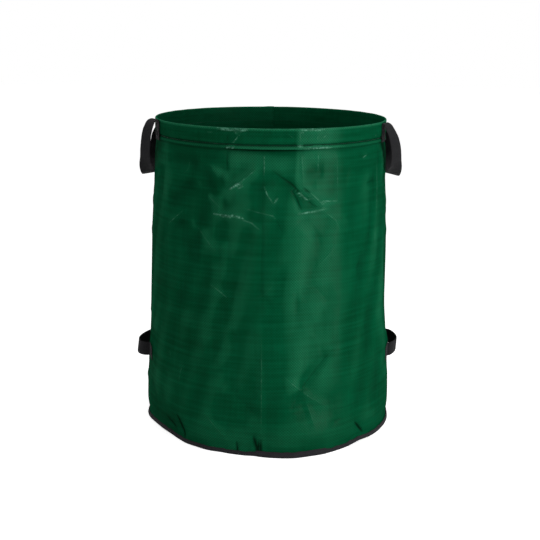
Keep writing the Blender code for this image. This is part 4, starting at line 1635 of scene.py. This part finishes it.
RIM_HALVES = {
    (Side.LEFT, End.FRONT): StrapHalf(
        ((0.3079, 0.0125, 18.5), (0.3090, 0.0050, 20.0), (0.3130, 0.0006, 24.0), (0.3180, -0.0006, 30.0),
         (0.3230, 0.0022, 36.0), (0.3270, 0.0080, 40.0), (0.3305, 0.0170, 42.0)),
        (0.3372, 0.3402, 0.3425, 0.3428, 0.3418), 45.0),
    (Side.LEFT, End.REAR): StrapHalf(
        ((0.3079, 0.0150, 18.5), (0.3086, 0.0085, 16.0), (0.3120, 0.0050, 10.0), (0.3165, 0.0072, 3.0),
         (0.3205, 0.0140, -3.0), (0.3245, 0.0260, -6.0)),
        (0.3293, 0.3343, 0.3371, 0.3391, 0.3400), 31.0),
    (Side.RIGHT, End.FRONT): StrapHalf(
        ((0.3079, 0.0160, 18.5), (0.3083, 0.0085, 20.0), (0.3112, 0.0048, 24.0), (0.3150, 0.0062, 30.0),
         (0.3185, 0.0100, 35.0), (0.3232, 0.0185, 39.0), (0.3318, 0.0367, 42.0)),
        (0.3390, 0.3427, 0.3440, 0.3428), 45.0),
    (Side.RIGHT, End.REAR): StrapHalf(
        ((0.3079, 0.0150, 18.5), (0.3086, 0.0085, 18.5), (0.3120, 0.0050, 18.5), (0.3165, 0.0072, 20.0),
         (0.3205, 0.0140, 24.0), (0.3250, 0.0260, 32.0)),
        (0.3290, 0.3330, 0.3380, 0.3415), 45.0)}


@dataclass
class RimHandle(Handle):
    """A long handle at the rim: sewn to the hem, arched over the rim's edge and hanging outside."""

    foot: float  # height of the lowest middle of the strap
    foot_out: float  # its distance from the bag's middle
    slant: float  # tilt of its width there, in degrees
    squareness: float = 2.4
    step: float = 0.0025  # between the strap's stations
    blend_reach: float = 0.0575  # from the crest to each end of the stretch that bends
    box: float = 0.040  # length of a sewn end's box of stitches

    def half(self, shape: StrapHalf) -> np.ndarray:
        """One half of the strap: straight up the hem, over the arch's knots and down the hanging leg.

        The leg follows a quarter of a superellipse: with the angle t, its depth is sin(t) ** (2 / squareness)
        and its distance from the middle of the handle goes with cos(t) ** (2 / squareness).

        Args:
            shape: The half's own shape.

        Returns:
            A table with the place, the turn of the width from Y, its slant and its cup in each row.
        """
        spread, cup = math.radians(TOP_SPREAD), 1 / RIM_RADIUS
        reach = RIM_RADIUS + GAP + WEBBING / 2
        x, y = reach * math.cos(spread), reach * math.sin(spread)
        drops = np.linspace(HEIGHT - TOP_END_FOOT, shape.arch[0][1], 6)
        rows = [(x, -y, HEIGHT - drop, TOP_SPREAD, 0.0, cup) for drop in drops]
        for k, (far, drop, turn) in enumerate(shape.arch[1:]):
            y += (far - shape.arch[k][0]) * math.tan(math.radians(turn))
            rows.append((far, -y, HEIGHT - drop, turn, 0.0, cup * max(0.0, 0.5 - k / 2)))
        start_x, start_drop, start_turn = shape.arch[-1]
        angle = math.pi / 2 * np.linspace(0.0, 1.0, 15)[1:]
        depth = np.sin(angle) ** (2 / self.squareness)
        near = y * np.cos(angle) ** (2 / self.squareness)
        way = np.array([start_x, *shape.leg, self.foot_out])
        far = through(np.linspace(0.0, 1.0, len(way)), way, depth)
        turn = start_turn + (shape.turn - start_turn) * eased(depth, -0.10, 0.30)
        turn = turn + (90 - shape.turn) * eased(depth, 0.62, 1.0)
        slant = self.slant * eased(depth, 0.55, 1.0)
        start_z = HEIGHT - start_drop
        hang = np.stack([far, -near, start_z - (start_z - self.foot) * depth, turn, slant, 0 * depth], axis=1)
        return np.concatenate([np.array(rows), hang])

    def build(self) -> list[Piece]:
        """Make the two sewn ends with their rising halves of the arch, the loop and the boxes of stitches.

        Returns:
            The pieces.
        """
        halves, wishes = [], []
        for end in End:
            table = spaced(self.half(RIM_HALVES[self.side, end]), self.step)
            turn, slant = np.radians(table[:, 3]), np.radians(table[:, 4])
            flip = -end.value
            table[:, 1] *= flip
            halves.append(table)
            wishes.append(np.stack([np.sin(turn) * np.cos(slant), flip * np.cos(turn),
                                    -np.sin(turn) * np.sin(slant)], axis=1))
        ahead, behind = halves
        table = np.concatenate([ahead, behind[:-1][::-1]])
        wish = np.concatenate([wishes[0], wishes[1][:-1][::-1]])
        strap = Webbing(self.mirrored(table[:, :3]), self.mirrored(wish), table[:, 5], self.side is Side.LEFT)
        last = len(table) - 1
        tops = (int(np.argmax(ahead[:, 2])), last - int(np.argmax(behind[:, 2])))
        name, node = f"rim_handle_{self.word}", f"top_handle_{self.word}"
        made = []
        for end, span, top in ((End.FRONT, (0, tops[0]), tops[0]), (End.REAR, (tops[1], last), tops[1])):
            place = end.name.lower()
            piece = strap.ribbon(f"{name}_{place}", *span, self.finish)
            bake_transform(piece)
            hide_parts(f"{node}_{place}_end")
            made.append(piece)
        loop = strap.ribbon(f"{name}_loop", *tops, self.finish)
        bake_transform(loop)
        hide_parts(f"{node}_loop")
        made.append(loop)
        return made + self.boxes(strap, self.box, name, node)


@dataclass
class FootHandle(Handle):
    """A short handle near the foot: sewn flat to the wall, standing out as a hand loop on edge."""

    level: float  # height of the strap's middle at Y 0
    reach: float
    crown: float  # Y of the place that stands out farthest
    squareness: tuple[float, float]  # of its front and its rear half, where 2 is round
    lean: float  # how far the strap's upper edge leans outward, for 1 up
    tilt: float = 0.09  # rise of the strap towards the rear
    wall_radius: float = 0.3412
    end_length: float = 0.036
    corner: float = 0.004  # size of the fold at the wall
    step: float = 0.0022  # between the strap's stations
    hinge: float = 0.0014  # from the fold to the start of the stretch that bends
    bend: float = 0.012  # length of that stretch

    @property
    def radius(self) -> float:
        """Radius of the strap's middle where it is sewn flat to the wall."""
        return self.wall_radius + GAP + WEBBING / 2

    @property
    def root(self) -> float:
        """Distance from the bag's middle to the fold at the wall."""
        return math.sqrt(self.radius ** 2 - LOWER_HALF_SPAN ** 2)

    def half(self, end: End) -> np.ndarray:
        """Way of one half, from its sewn end over the fold to the place that stands out farthest.

        The loop is a quarter of a superellipse: with the angle t, it stands out by sin(t) ** power and nears
        the crown with cos(t) ** power, where power is 2 / squareness.

        Args:
            end: Which half.

        Returns:
            Places at even steps.
        """
        near = math.asin((LOWER_HALF_SPAN + self.corner) / self.radius)
        angle = np.linspace(near + self.end_length / self.radius, near, 9)
        flat = self.radius * np.stack([np.cos(angle), end.value * np.sin(angle)], axis=1)
        fold = np.array([[self.root + 0.0018, end.value * (LOWER_HALF_SPAN + 0.0004)]])
        turn = np.linspace(0.0, math.pi / 2, 14)[2:]
        power = 2 / self.squareness[0 if end is End.FRONT else 1]
        out = self.root + self.corner + (self.reach - self.corner) * np.sin(turn) ** power
        span = self.crown + (end.value * (LOWER_HALF_SPAN - 0.0005) - self.crown) * np.cos(turn) ** power
        plan = np.concatenate([flat, fold, np.stack([out, span], axis=1)])
        return spaced(np.concatenate([plan, self.level + self.tilt * plan[:, 1:]], axis=1), self.step)

    def build(self) -> list[Piece]:
        """Make the two sewn ends, the loop and the boxes of stitches.

        Returns:
            The pieces.
        """
        front, rear = self.half(End.FRONT), self.half(End.REAR)
        way = np.concatenate([front, rear[:-1][::-1]])
        far = eased(way[:, 0], self.root + 0.002, self.root + 0.6 * self.reach)
        wish = np.stack(np.broadcast_arrays(self.lean * far, -self.tilt, 1.0), axis=1)
        strap = Webbing(self.mirrored(way), self.mirrored(wish), np.zeros(len(way)), self.side is Side.RIGHT)
        name, node = f"foot_handle_{self.word}", f"lower_handle_{self.word}"
        last = len(way) - 1
        first_cut, last_cut = (int(np.argmax(part[:, 0] > self.root + 0.0012)) for part in (front, rear))
        cuts = (first_cut, last - last_cut)
        made = []
        for end, span in ((End.FRONT, (0, cuts[0])), (End.REAR, (cuts[1], last))):
            place = end.name.lower()
            piece = strap.ribbon(f"{name}_{place}", *span, self.finish)
            made.append(fixed(piece, f"{node}_{place}_end"))
        loop = strap.ribbon(f"{name}_loop", *cuts, self.finish)
        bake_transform(loop)
        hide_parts(f"{node}_loop")
        return made + [loop] + self.boxes(strap, self.end_length, name, node)


@dataclass(frozen=True)
class Lamp:
    """A soft panel of light that points at the bag's axis."""

    name: str
    place: tuple[float, float, float]
    aim: float  # height of what it points at
    size: tuple[float, float]
    power: float  # in watts

    def build(self) -> None:
        """Hang the lamp: tilted by the angle from straight down, and turned towards its aim."""
        light = bpy.data.lights.new(self.name, "AREA")
        light.shape = "RECTANGLE"
        light.size, light.size_y = self.size
        light.energy = self.power
        lamp = bpy.data.objects.new(self.name, light)
        lamp.location = self.place
        heading = np.subtract((0.0, 0.0, self.aim), self.place)
        tilt = math.acos(-heading[2] / np.linalg.norm(heading))
        lamp.rotation_euler = (tilt, 0.0, math.atan2(heading[0], -heading[1]) + math.pi)
        lamp.visible_camera = False
        bpy.context.scene.collection.objects.link(lamp)


@dataclass
class Studio:
    """Floor, lamps, world and camera."""

    camera_distance: float = 3.235
    camera_height: float = 1.1753
    pitch: float = 10.0  # in degrees, downward
    roll: float = 0.56  # in degrees
    lens: float = 76.93
    sensor: float = 36.0
    shift_y: float = -0.1163
    floor_radius: float = 14.0
    floor_depth: float = 0.02
    fill: float = 0.42  # strength of the world's light on the bag
    lamps: tuple[Lamp, ...] = (Lamp("key", (1.48, -1.26, 0.58), 0.55, (0.36, 1.12), 22.0),
                               Lamp("fill", (-1.3, -2.8, 1.5), 0.45, (1.0, 1.8), 16.0),
                               Lamp("top", (0.3, 0.2, 3.2), 0.4, (2.0, 2.0), 30.0))

    def floor(self) -> None:
        """Lay a wide round floor, its top at height 0."""
        angle = np.linspace(2 * math.pi, 0, 64, endpoint=False)
        radii = np.array([[0.01], [self.floor_radius]])
        rings = around(radii, angle + math.pi / 2, -self.floor_depth / 2)
        points, quads = cloth_shell(rings, self.floor_depth, True, capped=True)
        make_piece("studio_floor", points, quads, points[:, :2], StudioPaint().make())

    def world(self) -> None:
        """Make it white to the camera, mirrors and glass, and a plain fill of light for the rest."""
        bench = Bench(bpy.data.worlds.new("studio_world"))
        strength = bench.ranged(bench.seen(), (0.0, 1.0), (self.fill, 1.0))
        background = bench.node("Background", {"Color": (1.0, 1.0, 1.0, 1.0), "Strength": strength})
        bpy.context.scene.world = bench.finished(background, "OutputWorld")

    def camera(self) -> None:
        """Set up the camera at the photograph's angle, rolled a little."""
        data = bpy.data.cameras.new("camera")
        data.lens = self.lens
        data.sensor_width = self.sensor
        data.shift_y = self.shift_y
        item = bpy.data.objects.new("camera", data)
        item.location = (0.0, -self.camera_distance, self.camera_height)
        tilt = Matrix.Rotation(math.radians(90 - self.pitch), 4, "X")
        turn = Matrix.Rotation(math.radians(self.roll), 4, "Z")
        item.rotation_euler = (tilt @ turn).to_euler()
        bpy.context.scene.collection.objects.link(item)
        bpy.context.scene.camera = item

    def build(self) -> None:
        """Set everything up, shown without any change of tone."""
        bpy.context.scene.view_settings.view_transform = "Standard"
        self.floor()
        self.world()
        for lamp in self.lamps:
            lamp.build()
        self.camera()


def main() -> None:
    """Build the studio, the bag and its handles, in order, and report each piece."""
    logging.basicConfig(level=logging.INFO, format="%(message)s")
    Studio().build()
    weave = CoatedWeave().make()
    black = RibbedWebbing("black_ribbed_webbing", colour(17, 17, 18), colour(38, 38, 40)).make()
    charcoal = RibbedWebbing("charcoal_foot_tape", colour(22, 22, 24), colour(48, 48, 51), rib=0.0016,
                             thread=0.0012).make()
    green_thread = TwistedThread("green_twisted_thread", colour(0, 38, 22)).make()
    black_thread = TwistedThread("black_twisted_thread", colour(20, 20, 21)).make()
    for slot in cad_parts["rim_hoop"].material_slots:
        slot.material = HoopPlastic().make()
    wall, tape = Wall(weave), FootTape(charcoal)
    made = [wall.build(), Bottom(weave).build(), tape.build()]
    made += Sewing(wall, tape, green_thread, black_thread).build()
    left, right = ((side, black, black_thread) for side in Side)
    handles = [RimHandle(*left, foot=0.7032, foot_out=0.3388, slant=10.0),
               RimHandle(*right, foot=0.7064, foot_out=0.3408, slant=14.0),
               FootHandle(*left, level=0.2045, reach=0.0380, crown=-0.012, squareness=(2.3, 1.45),
                          lean=-0.12),
               FootHandle(*right, level=0.2115, reach=0.0305, crown=-0.007, squareness=(1.45, 1.75),
                          lean=0.05, tilt=0.115)]
    for handle in handles:
        made += handle.build()
    for piece in made:
        LOG.info("%s: %d faces", piece.name, len(piece.data.polygons))


if __name__ == "__main__":
    main()
